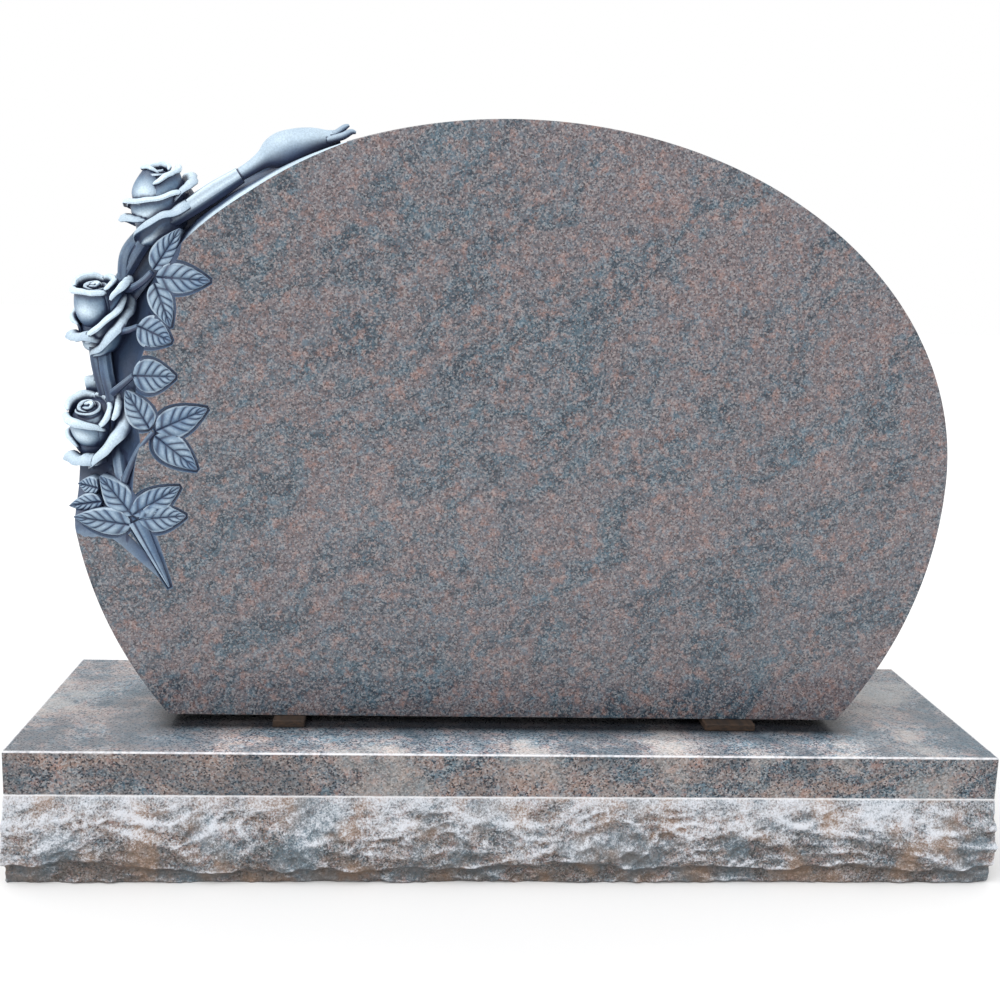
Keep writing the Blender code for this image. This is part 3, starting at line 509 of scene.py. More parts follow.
def petal(sizes, cells, neck, thickness, axes):
    """One petal, with a painted highlight on its belly and along its rolled rim, and painted shade down its
    throat, under its roll and at its sides.
    """
    points = petal_points(sizes, cells, neck, axes)
    rise = np.linspace(0, 1, cells[1] + 1)[None, :] + np.zeros((cells[0] + 1, 1))
    side = np.linspace(-1, 1, cells[0] + 1)[:, None] + 0.0 * rise
    forward = sizes[0] + sizes[1] * side
    # Painted highlight on the belly, centred on the side that turns towards the key light
    painted_belly_highlight = PAINTED_BELLY_HIGHLIGHT * np.exp(-((forward + 18.0) / 30.0) ** 2) * np.exp(-((rise - 0.46) / 0.14) ** 2)
    # Painted shade at the petal's foot, just under its rolled rim and along its sides
    throat = np.clip((0.30 - rise) / 0.16, 0, 1)
    below_rim = np.clip((rise - 0.64) / 0.08, 0, 1)
    edge = np.clip((np.abs(side) - 0.78) / 0.2, 0, 1)
    outer = (painted_belly_highlight, np.clip(0.9 * throat + 0.75 * below_rim + 0.5 * edge, 0, 1))
    # Inside: painted highlight over the rolled rim, painted shade in the cup below it
    fade = 1.0 - (0.25 if sizes[8] < THIN_ROLL else 0.55) * np.clip((rise - 0.86) / 0.14, 0, 1)
    inner = (np.clip((rise - 0.68) / 0.08, 0, 1) * fade, np.clip((0.72 - rise) / 0.1, 0, 1) * 0.85)
    inward = axes[0] + axes[3] * (sizes[4] * MM)
    return sheet(points, thickness, inward, outer, inner)


def rose(centre, axis, heart, petals):
    """A rose: a full heart, its petals, and the stone left behind it."""
    middle = place(*centre)
    up = np.array(axis) / np.linalg.norm(axis)
    front = np.array((0.0, -1.0, 0.0))
    front = front - up * front.dot(up)
    front /= np.linalg.norm(front)
    right = np.cross(front, up)
    if right[0] < 0:
        right = -right
    axes = (middle, front, right, up)
    # Painted highlight on the heart, painted shade on the ball below it
    shapes = [ball(middle + up * heart * 0.1 * MM, up, heart, heart * 1.02, 0.25, 0.0),
              ball(middle - up * heart * 1.15 * MM, up, heart * 0.95, heart * 1.0, 0.0, 0.8)]
    for sizes in petals:
        thickness = PETAL_THICKNESS if sizes[8] < THIN_ROLL else LIP_THICKNESS
        shapes.append(petal(sizes, PETAL_CELLS, 0.28, thickness, axes))
    for turned, span, radius, rim in HEART:
        sizes = (turned, span, heart * radius, heart * 0.4, heart * 1.05 + rim,
                 1.5, 0.0, 0.92, 1.0, 180.0, 0.4)
        shapes.append(petal(sizes, HEART_CELLS, 0.6, HEART_THICKNESS, axes))
    # Stone behind the rose, in painted shade
    boss = place(centre[0], centre[1] - 12.0, centre[2] + 18.0)
    shapes.append(ball(boss, (0.0, 1.0, 0.0), 38.0, 30.0, 0.0, 0.8))
    return shapes


def web():
    """Stone left standing behind the stems: a ribbed band that widens beyond the outline."""
    angles = np.arange(WEB[0][0], WEB[-1][0] + 0.01, 1.0)
    rings = []
    for angle in angles:
        reach = ramp(angle, WEB, 1)
        spread = np.linspace(0, 1, 9)
        section = [(WEB_ROOT + (reach - WEB_ROOT) * s, WEB_FRONT + 5.0 * s ** 3
                    + 2.2 * math.sin(9.0 * s + 0.12 * angle)) for s in spread]
        section += [(reach, WEB_BACK - 6.0), (reach - 3.0, WEB_BACK), (WEB_ROOT, WEB_BACK)]
        rings.append([place(angle, offset, depth) for offset, depth in section])
    rings = np.array(rings)
    corners = rings.reshape(-1, 3)
    # The web is in painted shade all over, with a faint painted highlight
    return corners, capped_rings(*rings.shape[:2]), np.full(len(corners), 0.05), np.full(len(corners), 0.6)


def carved_shapes():
    shapes = [web()] + [leaf(*sizes) for _, *sizes in LEAVES] + [leaf(*TAIL[1:], slender=True)]
    for name, radius, points, shares in STEMS:
        # Stems: a painted highlight, full on the top stem, with painted shade over the others and in all
        # their grooves and undersides
        line = smooth_line([[*place(*point), share] for point, share in zip(points, shares)], 8)
        shapes.append(tube(line[:, :3], line[:, 3] * radius * MM, STEM_SIDES, 1.0 if name == "top" else 0.2,
                           0.0 if name == "top" else 0.25, 0.07, 6, 0.9))
    # Bud and sepals: a painted highlight, with heavy painted shade underneath
    line = smooth_line([[*place(*point[:3]), point[3]] for point in BUD], 5)
    shapes.append(tube(line[:, :3], line[:, 3] * MM, 28, 0.56, 0.0, painted_under_shade=1.15))
    for points, radius in SEPALS:
        line = smooth_line([[*place(*point), share] for point, share in zip(points, (1.0, 1.0, 0.8, 0.4))], 6)
        shapes.append(tube(line[:, :3], line[:, 3] * radius * MM, 12, 0.5, 0.1, painted_under_shade=0.9))
    for _, *sizes in ROSES:
        shapes += rose(*sizes)
    return shapes


# ---------------------------------------------------------------- meshes

def finish_mesh(name, bm, mesh, group):
    """A piece from a bmesh, with its faces turned outward."""
    bmesh.ops.recalc_face_normals(bm, faces=bm.faces)
    bm.to_mesh(mesh)
    bm.free()
    piece = bpy.data.objects.new(name, mesh)
    group.objects.link(piece)
    return piece


def mesh_piece(name, corners, faces, group):
    mesh = bpy.data.meshes.new(name)
    mesh.from_pydata([tuple(corner) for corner in corners], [], faces)
    bm = bmesh.new()
    bm.from_mesh(mesh)
    return finish_mesh(name, bm, mesh, group)


def slab(group):
    """The plain oval slab, with its arrises eased."""
    foot_turn = math.asin((FOOT_HEIGHT - TABLET_WIDEST_HEIGHT) / TABLET_LOWER_DROP)
    bm = bmesh.new()
    corners = []
    for share in np.linspace(0, 1, TABLET_SEGMENTS + 1):
        turn = foot_turn + (math.pi - 2 * foot_turn) * share
        x, z, _ = outline_frame(min(turn, math.pi - turn))
        corners.append(bm.verts.new((-x if turn > math.pi / 2 else x, FACE_Y, z)))
    front = bm.faces.new(corners)
    moved = bmesh.ops.extrude_face_region(bm, geom=[front])
    back = [item for item in moved["geom"] if isinstance(item, bmesh.types.BMVert)]
    bmesh.ops.translate(bm, verts=back, vec=(0, TABLET_THICKNESS, 0))
    rims = [edge for edge in bm.edges if abs(edge.verts[0].co.y - edge.verts[1].co.y) < MM]
    bmesh.ops.bevel(bm, geom=rims, offset=TABLET_ARRIS, segments=2, profile=0.5, affect="EDGES",
                    clamp_overlap=True)
    return finish_mesh("tablet_slab", bm, bpy.data.meshes.new("tablet_slab"), group)


def ground_cutter(group):
    """Stone taken away behind the flowers, with the marks of the chisel left in it."""
    angles = np.arange(GROUND[0][0], GROUND[-1][0] + 0.01, GROUND_STEP)
    loops = []
    for angle in angles:
        inner, shelf, shelf_depth, edge_depth = ground_profile(angle)
        section = [(inner - 6.0, -6.0), (inner, 0.0)]
        for share in (0.25, 0.5, 0.75, 1.0):
            section.append((inner + (shelf - inner) * share, shelf_depth * share ** 0.8))
        for share in (0.17, 0.34, 0.5, 0.67, 0.84, 1.0):
            section.append((shelf * (1.0 - share), shelf_depth + (edge_depth - shelf_depth) * share))
        section += [(40.0, edge_depth + 4.0), (40.0, -6.0)]
        loop = []
        for offset, depth in section:
            if depth > 3.0:
                rough = noise.noise(Vector((angle * 0.55, offset * 0.13, 3.0)))
                depth += 1.1 * rough * min(1.0, (depth - 3.0) / 6.0)
            loop.append(place(angle, offset, depth))
        loops.append(loop)
    return cutter_from_loops("ground_cutter", loops, group)


def bank_cutter(group):
    """Wedge that slopes from the face down to the foot of the lowest leaves."""
    loops = []
    for edge, foot, depth in zip(smooth_line(BANK_EDGE, 4), smooth_line(BANK_FOOT, 4),
                                 smooth_line([[value] for value in BANK_DEPTH], 4)):
        loops.append([place(edge[0], edge[1], 0.0), place(foot[0], foot[1], depth[0]),
                      place(foot[0], foot[1], -3.0), place(edge[0], edge[1], -3.0)])
    return cutter_from_loops("bank_cutter", loops, group)


def cut(piece, tools):
    """Takes every tool's stone away from the piece, and keeps the result as its mesh."""
    for tool in tools:
        modifier = piece.modifiers.new("cut", "BOOLEAN")
        modifier.operation = "DIFFERENCE"
        modifier.solver = "EXACT"
        modifier.object = tool
    bpy.context.view_layer.update()
    depsgraph = bpy.context.evaluated_depsgraph_get()
    mesh = bpy.data.meshes.new_from_object(piece.evaluated_get(depsgraph))
    piece.modifiers.clear()
    piece.data = mesh


def mesh_rows(mesh, kind):
    """Places ("co") or normals ("normal") of a mesh's corners, a row each."""
    rows = np.zeros(len(mesh.vertices) * 3)
    mesh.vertices.foreach_get(kind, rows)
    return rows.reshape(-1, 3)


def sky_directions(count):
    """Even directions over a half globe round +Z."""
    index = np.arange(count) + 0.5
    height = np.sqrt(1.0 - index / count)
    flat = np.sqrt(1.0 - height ** 2)
    turn = index * 2.39996
    return np.stack([flat * np.cos(turn), flat * np.sin(turn), height], axis=1)


def hidden_share(mesh, chosen, reach, count):
    """How much of its sky each chosen vertex loses to stone within reach, 0 to 1."""
    corners, normals = mesh_rows(mesh, "co"), mesh_rows(mesh, "normal")
    tree = BVHTree.FromPolygons([tuple(c) for c in corners], [tuple(p.vertices) for p in mesh.polygons])
    directions = sky_directions(count)
    lost = np.zeros(len(corners))
    for index in np.nonzero(chosen)[0]:
        normal = normals[index]
        guide = np.array((1.0, 0.0, 0.0)) if abs(normal[0]) < 0.8 else np.array((0.0, 1.0, 0.0))
        one = np.cross(normal, guide)
        one /= max(np.linalg.norm(one), 1e-9)
        two = np.cross(normal, one)
        start = Vector(corners[index] + normal * 0.0004)
        total = 0.0
        for ray in directions @ np.array((one, two, normal)):
            distance = tree.ray_cast(start, Vector(ray), reach)[3]
            if distance is not None:
                total += 1.0 - 0.6 * distance / reach
        lost[index] = total / count
    return lost


def build_tablet(group):
    """The slab with its ground cut back, and the roses, leaves, stems and bud standing in it."""
    stone = slab(group)
    tools = [leaf_pocket(*entry, group) for entry in LEAVES]
    tools += [leaf_pocket(*TAIL, group, slender=True), ground_cutter(group), bank_cutter(group)]
    finishes = [bpy.data.materials.new("polished_tablet_granite"), bpy.data.materials.new("carved_granite")]
    for piece in [stone] + tools:
        for finish in finishes:
            piece.data.materials.append(finish)
    cut(stone, tools)
    corners = mesh_rows(stone.data, "co")
    all_corners = [corners]
    faces = [list(face.vertices) for face in stone.data.polygons]
    kinds = [face.material_index for face in stone.data.polygons]
    # Cut faces of the slab: painted shade that deepens with the cut, a faint painted highlight where it is
    # shallow, and a strong painted highlight on the shallow cut under the bud
    depth = (corners[:, 1] - FACE_Y) / MM
    deep = np.clip((depth - 0.5) / 3.0, 0, 1)
    angles = np.array([angle_and_offset(x, z)[0] for x, _, z in corners])
    near_bud = np.clip((angles - 40.0) / 3.0, 0, 1)
    shallow = np.clip((16.0 - depth) / 8.0, 0, 1)
    pale = [0.16 * (1.0 - deep) * (1.0 - near_bud) + 0.85 * near_bud * shallow]
    painted_shade = [(0.42 + 0.36 * deep) * (1.0 - near_bud * shallow)]
    start = len(corners)
    for shape_corners, shape_faces, shape_pale, shape_stain in carved_shapes():
        all_corners.append(shape_corners)
        faces += [[corner + start for corner in face] for face in shape_faces]
        kinds += [CARVED] * len(shape_faces)
        pale.append(shape_pale)
        painted_shade.append(shape_stain)
        start += len(shape_corners)
    for piece in [stone] + tools:
        bpy.data.objects.remove(piece, do_unlink=True)
    tablet = mesh_piece("tablet_stone", np.concatenate(all_corners), faces, group)
    mesh = tablet.data
    for finish in finishes:
        mesh.materials.append(finish)
    mesh.polygons.foreach_set("material_index", np.array(kinds, np.int32))
    pale = np.concatenate(pale)
    painted_shade = np.concatenate(painted_shade)
    carved = np.zeros(len(mesh.vertices), bool)
    for face in mesh.polygons:
        if face.material_index == CARVED:
            carved[list(face.vertices)] = True
    # Share of sky that stone hides from each carved corner, for painted shade in the carved finish; kept with
    # the painted highlight and painted shade
    lost = hidden_share(mesh, carved, HIDDEN_REACH, RAYS)
    add_values(mesh, "pale", pale)
    add_values(mesh, "painted_shade", painted_shade)
    add_values(mesh, "hidden", lost)
    mesh.shade_smooth()
    mesh.set_sharp_from_angle(angle=math.radians(TABLET_SHARP))
    return tablet


def add_values(mesh, name, values):
    attribute = mesh.attributes.new(name, "FLOAT", "POINT")
    attribute.data.foreach_set("value", np.asarray(values, np.float32))


def rock_reach(share, x, y):
    """How far the rock face stands out down its height, as a share of its bulge: a wavy ledge runs
    along it low down, and the stone is broken back below the ledge."""
    wave = noise.noise(Vector((x * 7.0, y * 7.0, 2.0))) * 0.16
    wave += 0.05 * noise.noise(Vector((x * 38.0, y * 38.0, 5.0)))
    wave += 0.05 * abs(noise.noise(Vector((x * 16.0, y * 16.0, 8.0))))
    ledge = min(0.90, max(0.60, ROCK_LEDGE_SHARE + wave))
    if share < ledge:
        return math.sin(math.pi / 2 * share / ledge) ** 0.8
    under = (share - ledge) / (1.0 - ledge)
    return 1.0 - 0.45 * min(1.0, under / 0.22) ** 0.8 - 0.10 * under


def rock_dig(share, x, y, z):
    """Depth in mm that the pitching tool has taken off the bulge at a spot: shells knocked out
    aslant, with sharp ridges left between them."""
    warp = noise.noise_vector(Vector((x * 9.0, y * 9.0, z * 14.0))) * 0.5
    ridge = abs(noise.noise(Vector((x * 10.0 + 0.9 * z / 0.05, y * 10.0, z * 26.0)) + warp))
    shell = abs(noise.noise(Vector((x * 22.0 - 0.8 * z / 0.05, y * 22.0, z * 52.0)) + warp * 2.0))
    flake = abs(noise.noise(Vector((x * 55.0, y * 55.0, z * 110.0)) + warp * 3.0))
    broad = noise.noise(Vector((x * 5.0, y * 5.0, z * 9.0 + 7.0)))
    fine = noise.fractal(Vector((x, y, z)) * 140.0, 0.8, 2.0, 3)
    dig = 9.0 * min(0.45, ridge) + 6.0 * min(0.4, shell) + 3.6 * min(0.4, flake) + 3.0 * max(0.0, broad)
    dig += 0.8 * (fine + 0.4)
    return max(0.0, dig - 0.8) * min(1.0, 4.0 * share + 0.05)


def soften(values, reach):
    """Average over a square of neighbours; the columns run on round the block."""
    total = sum(np.roll(values, step, 1) for step in range(-reach, reach + 1)) / (2 * reach + 1)
    padded = np.pad(total, ((reach, reach), (0, 0)), mode="edge")
    return sum(padded[step:step + len(values)] for step in range(2 * reach + 1)) / (2 * reach + 1)


def crushed_and_lit_share(reached):
    """How pale the rock is, from how it stands out: crystals from the crushing on its ridges and painted
    light on its upward slopes, painted shade in its hollows and on its downward slopes, and paler towards its
    top.
    """
    proud = 0.55 * (reached - soften(reached, 2)) + 0.30 * (reached - soften(reached, 6))
    slope = -np.gradient(soften(reached, 1), axis=0)
    fade = 0.10 * np.linspace(-1.0, 1.0, len(reached))[:, None]
    return np.clip(0.42 + fade + 0.19 * proud + 0.085 * slope, 0, 1)


def build_base(group):
    """A block with a polished top and margin, and rock-faced sides below it."""
    noise.seed_set(ROCK_SEED)
    half = np.array((BASE_WIDTH, BASE_DEPTH)) / 2
    sides = [((-1, -1), (1, -1), (0, -1)), ((1, -1), (1, 1), (1, 0)), ((1, 1), (-1, 1), (0, 1)),
             ((-1, 1), (-1, -1), (-1, 0))]
    columns, outward = [], []
    for start, end, normal in sides:
        start, end, normal = np.array(start) * half, np.array(end) * half, np.array(normal, float)
        length = np.linalg.norm(end - start)
        direction = (end - start) / length
        for distance in np.linspace(BASE_CORNER, length - BASE_CORNER, int(round(length / ROCK_CELL))):
            columns.append(start + direction * distance)
            near = min(distance, length - distance)
            tilt = 0.0 if near > 2 * BASE_CORNER else (1.0 if distance > length / 2 else -1.0)
            outward.append(normal + direction * tilt)
    columns, outward = np.array(columns), np.array(outward)
    rows = int(round(MARGIN_FOOT / ROCK_CELL))
    rings, arris_wear_and_glint, reached = [], [], []
    for row in range(rows + 1):
        z = MARGIN_FOOT * row / rows
        share = 1.0 - z / MARGIN_FOOT
        ring, line = [], []
        for (x, y), (nx, ny) in zip(columns, outward):
            dig = rock_dig(share, x, y, z)
            reach = rock_reach(share, x, y)
            inset = ROCK_FOOT_INSET / MM if row == 0 else 0.0
            px = max(ROCK_BULGE_SIDE / MM * reach - 0.5 * dig, -4.0) - inset
            py = max(ROCK_BULGE_FRONT / MM * reach - dig, -6.0) - inset
            ring.append((x + nx * px * MM, y + ny * py * MM, z))
            line.append(py if abs(ny) > 0.5 else px * 1.6)
        rings.append(ring)
        reached.append(line)
        arris_wear_and_glint.append(0.0)
    # Pale lines at the foot of the margin and round the top's arris: chipped stone with a painted highlight
    # along it
    arris_wear_and_glint[-1] = 1.0
    for z, inset, value in [(MARGIN_FOOT + 0.0008, 0.0, 0.5), (MARGIN_FOOT + 0.0015, 0.0, 0.0),
                            (BASE_HEIGHT - BASE_ARRIS - 0.001, 0.0, 0.0),
                            (BASE_HEIGHT - BASE_ARRIS, 0.0, 1.0),
                            (BASE_HEIGHT - BASE_ARRIS * 0.3, BASE_ARRIS * 0.3, 1.0),
                            (BASE_HEIGHT, BASE_ARRIS, 1.0), (BASE_HEIGHT, BASE_ARRIS + 0.0012, 0.0)]:
        limit = half - inset
        rings.append([(*np.clip(column, -limit, limit), z) for column in columns])
        arris_wear_and_glint.append(value)
    rings = np.array(rings)
    count, around = rings.shape[:2]
    faces = capped_rings(count, around)
    base = mesh_piece("base_stone", rings.reshape(-1, 3), faces, group)
    rock = np.arange(len(faces)) < rows * around
    for finish in ("polished_base_granite", "rock_faced_granite"):
        base.data.materials.append(bpy.data.materials.new(finish))
    base.data.polygons.foreach_set("material_index", rock.astype(np.int32))
    add_values(base.data, "arris_wear_and_glint", np.repeat(arris_wear_and_glint, around))
    # Pale crystals from the crushing on the rock's ridges, painted light on its upward slopes, painted shade
    # on its downward slopes and in its hollows
    crushed_and_lit = crushed_and_lit_share(np.array(reached))
    flat = np.full((count - len(crushed_and_lit), around), 0.5)
    add_values(base.data, "crushed_and_lit", np.concatenate([crushed_and_lit, flat]).ravel())
    base.data.shade_smooth()
    base.data.set_sharp_from_angle(angle=math.radians(BASE_SHARP))
    return base


# ---------------------------------------------------------------- finishes

class Net:
    """One node tree with short ways to add to it; each gives back the socket that it puts out."""

    def __init__(self, tree):
        self.tree = tree

    def give(self, value, socket):
        if isinstance(value, bpy.types.NodeSocket):
            self.tree.links.new(value, socket)
        else:
            socket.default_value = value

    def add(self, kind, inputs, out=0, **settings):
        made = self.tree.nodes.new("ShaderNode" + kind)
        for key, value in settings.items():
            setattr(made, key, value)
        for key, value in inputs.items():
            self.give(value, made.inputs[key])
        return made.outputs[out]

    def maths(self, operation, one, two=0.0, clamp=False):
        return self.add("Math", {0: one, 1: two}, operation=operation, use_clamp=clamp)

    def plus(self, one, two, clamp=False):
        return self.maths("ADD", one, two, clamp)

    def times(self, one, two, clamp=False):
        return self.maths("MULTIPLY", one, two, clamp)

    def fade(self, value, low, high, to_low=0.0, to_high=1.0, smooth=True):
        """A value carried from one range to another and held at its ends."""
        return self.add("MapRange", {"Value": value, "From Min": low, "From Max": high,
                                     "To Min": to_low, "To Max": to_high},
                        interpolation_type="SMOOTHSTEP" if smooth else "LINEAR")

    def tint(self, share, colour, shade):
        """The colour with a share of the shade laid over it, the shade in 0 to 255 values."""
        return self.add("Mix", {0: share, 6: colour, 7: paint(shade)}, out=2, data_type="RGBA")

    def scale(self, colour, factor):
        return self.add("VectorMath", {0: colour, "Scale": factor}, operation="SCALE")

    def noise(self, spot, scale, detail, out="Fac", **more):
        return self.add("TexNoise", {"Vector": spot, "Scale": scale, "Detail": detail, **more}, out)

    def parts(self, colour):
        return self.add("SeparateColor", {0: colour}).node.outputs

    def values(self, name):
        """Values kept at the corners of the mesh."""
        return self.add("Attribute", {}, "Fac", attribute_name=name, attribute_type="GEOMETRY")

    def finish(self, shader, colour, roughness, strength, distance, height):
        """Colour, roughness and a fine bump into the shader."""
        bump = self.add("Bump", {"Strength": strength, "Distance": distance, "Height": height})
        for name, value in (("Base Color", colour), ("Roughness", roughness), ("Normal", bump)):
            self.give(value, shader[name])


def paint(shade):
    """Colour of 0 to 255 values, as the shader takes it."""
    return tuple((v / 255 / 12.92 if v <= 10 else ((v / 255 + 0.055) / 1.055) ** 2.4) for v in shade) + (1.0,)


def granite_group():
    """Streaked granite: warm and cool bands drawn out aslant, dark seams, and crystals of 2 to 4 mm."""
    tree = bpy.data.node_groups.new("streaked_granite", "ShaderNodeTree")
    for label, kind, value in [("Vector", "Vector", (0, 0, 0)), ("Warm", "Color", (0, 0, 0, 1)),
                               ("Cool", "Color", (0, 0, 0, 1)), ("Seam", "Color", (0, 0, 0, 1)),
                               ("Grain", "Float", 1.0), ("Slant", "Float", 0.6)]:
        socket = tree.interface.new_socket(label, in_out="INPUT", socket_type="NodeSocket" + kind)
        socket.default_value = value
    for label, kind in (("Color", "Color"), ("Crystals", "Float")):
        tree.interface.new_socket(label, in_out="OUTPUT", socket_type="NodeSocket" + kind)
    net = Net(tree)
    inside = tree.nodes.new("NodeGroupInput").outputs
    outside = tree.nodes.new("NodeGroupOutput").inputs
    spot, grain = inside["Vector"], inside["Grain"]

    # Bands and seams, drawn out along the slant and bent by a slow drift
    turned = net.add("VectorRotate", {"Vector": spot, "Angle": inside["Slant"], "Axis": (0.0, 1.0, 0.0)})
    drift = net.noise(spot, 4.5, 3.0, "Color", Roughness=0.6)
    bent = net.add("VectorMath", {0: drift, 1: (BAND_DRIFT,) * 3}, operation="MULTIPLY")
    bent = net.add("VectorMath", {0: turned, 1: bent}, operation="ADD")
    drawn = net.add("Mapping", {"Vector": bent, "Scale": BAND_STRETCH})
    bands = net.fade(net.noise(drawn, 1.0, 8.0, Roughness=0.68, Distortion=1.1), 0.36, 0.62)
    colour = net.add("Mix", {0: bands, 6: inside["Cool"], 7: inside["Warm"]}, out=2, data_type="RGBA")
    away = net.noise(drawn, 1.9, 6.0, Roughness=0.6, Distortion=1.2)
    seam = net.fade(net.maths("ABSOLUTE", net.maths("SUBTRACT", away, 0.5)), 0.0, 0.07, 0.95, 0.0)
    seam = net.times(seam, net.fade(bands, 0.9, 0.2, 0.15, 1.0))
    colour = net.add("Mix", {0: seam, 6: colour, 7: inside["Seam"]}, out=2, data_type="RGBA")

    # Crystals of one kind gathered in flecks, then single light, dark, red and blue crystals
    flecks = net.parts(net.noise(spot, 75.0, 4.0, "Color", Roughness=0.65))
    for fleck, low, share, shade in zip(flecks, (0.50, 0.50, 0.54), (0.55, 0.55, 0.40), FLECK_SHADES):
        colour = net.tint(net.fade(fleck, low, 0.68, 0.0, share), colour, shade)
    cells = net.parts(net.add("TexVoronoi", {"Vector": spot, "Scale": 520.0, "Randomness": 1.0}, "Color"))
    dust = net.noise(spot, 900.0, 2.0, Roughness=0.6)
    value = net.plus(net.times(cells[0], 0.6), net.times(dust, 0.4))
    for source, low, high, share, shade in ((value, 0.52, 0.80, 0.36, (182, 180, 180)),
                                            (value, 0.42, 0.20, 0.68, (28, 32, 40)),
                                            (cells[1], 0.72, 0.95, 0.16, (168, 128, 116)),
                                            (cells[2], 0.70, 0.95, 0.16, (108, 138, 156))):
        colour = net.tint(net.times(net.fade(source, low, high), net.times(grain, share)), colour, shade)
    net.give(colour, outside["Color"])
    net.give(value, outside["Crystals"])
    return tree


def start_material(name):
    """The net of a material, its shader's inputs, and the spot on the piece."""
    material = bpy.data.materials[name]
    material.use_nodes = True
    net = Net(material.node_tree)
    return net, net.tree.nodes["Principled BSDF"].inputs, net.add("TexCoord", {}, "Object")


def lay_granite(net, spot, granite, shades, grain, slant):
    """Colour and crystals of the streaked granite, in warm, cool and seam shades."""
    warm, cool, seam = (paint(shade) for shade in shades)
    made = net.add("Group", {"Vector": spot, "Warm": warm, "Cool": cool, "Seam": seam, "Grain": grain,
                             "Slant": slant}, node_tree=granite).node.outputs
    return made["Color"], made["Crystals"]


def polish(net, shader, colour, crystals, roughness):
    """A flat gloss, a little duller on some crystals than on others."""
    gloss = net.fade(crystals, 0.2, 0.8, roughness * 0.8, roughness * 1.3, False)
    net.finish(shader, colour, gloss, 0.06, 0.0004, crystals)


def polished_tablet(granite):
    net, shader, spot = start_material("polished_tablet_granite")
    colour, crystals = lay_granite(net, spot, granite, TABLET_SHADES, 1.0, TABLET_SLANT)
    polish(net, shader, colour, crystals, 0.17)


def polished_base(granite):
    """Polished granite with cloudy patches; its top lightened as painted light and tinted blue as a painted
    sky reflection, a painted highlight on the strip in front of the tablet, a painted shadow round the
    tablet's foot, and its arrises pale from chips with a painted highlight.
    """
    net, shader, spot = start_material("polished_base_granite")
    colour, crystals = lay_granite(net, spot, granite, BASE_SHADES, 1.38, BASE_SLANT)
    x, y, z = net.add("SeparateXYZ", {0: spot}).node.outputs
    top = net.fade(z, BASE_HEIGHT - 0.002, BASE_HEIGHT - 0.001)
    patchy = net.plus(0.80, net.times(top, 0.60))
    clouds = net.noise(spot, 9.0, 4.0, Roughness=0.6)
    for high, share, shade in ((0.40, 0.42, (46, 58, 66)), (0.66, 0.32, (176, 170, 164))):
        colour = net.tint(net.times(patchy, net.fade(clouds, 0.52, high, 0.0, share)), colour, shade)
    # Painted highlight on the strip in front of the tablet, and the whole top lightened as painted light from
    # above
    middle = net.times(net.fade(net.maths("ABSOLUTE", x), *FOOT_FADE_X), top)
    painted_strip_highlight = net.times(net.fade(y, *STRIP_HIGHLIGHT_FADE_Y), middle)
    colour = net.scale(colour, net.plus(net.plus(1.0, net.times(top, 0.42)), net.times(painted_strip_highlight, 1.15)))
    # Painted sky reflection: the top tinted blue
    colour = net.tint(net.times(top, 0.12), colour, (110, 150, 176))
    painted_foot_shadow = net.times(net.fade(net.maths("ABSOLUTE", y), *FOOT_FADE_Y), middle)
    colour = net.tint(net.times(painted_foot_shadow, 0.92), colour, (16, 14, 18))
    # Pale arrises: chipped stone with a painted highlight along them
    chips = net.fade(net.noise(spot, 160.0, 3.0), 0.35, 0.60, 0.5, 0.88)
    colour = net.tint(net.times(net.values("arris_wear_and_glint"), chips), colour, (232, 232, 236))
    polish(net, shader, colour, crystals, 0.30)
    shader["Specular IOR Level"].default_value = 0.22


def rock_faced(granite):
    """Split granite: pale crystals from the crushing on the ridges and painted light on the upward slopes;
    painted shade, darker and browner, in the hollows and on the downward slopes, and darker towards the
    bottom.
    """
    net, shader, spot = start_material("rock_faced_granite")
    colour, crystals = lay_granite(net, spot, granite, ROCK_SHADES, 1.4, BASE_SLANT)
    patches = net.noise(spot, 20.0, 4.0).node.outputs
    parts = net.parts(patches["Color"])
    for part, share, shade in ((parts[1], 0.62, (156, 126, 102)), (parts[2], 0.52, (100, 124, 138))):
        colour = net.tint(net.fade(part, 0.48, 0.66, 0.0, share), colour, shade)
    height = net.add("SeparateXYZ", {0: spot}, "Z")
    sugar = net.noise(spot, 400.0, 3.0, Roughness=0.8)
    # Crystals from the crushing, with painted light and painted shade, kept in the mesh; paler towards the
    # top and darker towards the bottom
    crushed_and_lit = net.plus(net.values("crushed_and_lit"), net.fade(patches["Fac"], 0.3, 0.7, -0.15, 0.13))
    crushed_and_lit = net.plus(crushed_and_lit, net.fade(height, 0.0, 0.09, -0.19, 0.05))
    crushed_and_lit = net.plus(crushed_and_lit, net.fade(sugar, 0.3, 0.7, -0.30, 0.30, False))
    # Painted shade in dark brown where that value is low; pale crystals and painted light where it is high
    colour = net.tint(net.fade(crushed_and_lit, 0.38, 0.02, 0.0, 0.52), colour, (62, 54, 46))
    colour = net.tint(net.fade(crushed_and_lit, 0.31, 0.86, 0.0, 0.78), colour, (228, 232, 240))
    # Pale line along the margin's foot: chipped stone with a painted highlight
    colour = net.tint(net.times(net.values("arris_wear_and_glint"), 0.9), colour, (240, 240, 243))
    rough = net.noise(spot, 260.0, 5.0, Roughness=0.7)
    net.finish(shader, colour, 0.62, 0.8, 0.0026, net.plus(rough, net.times(crystals, 0.5)))


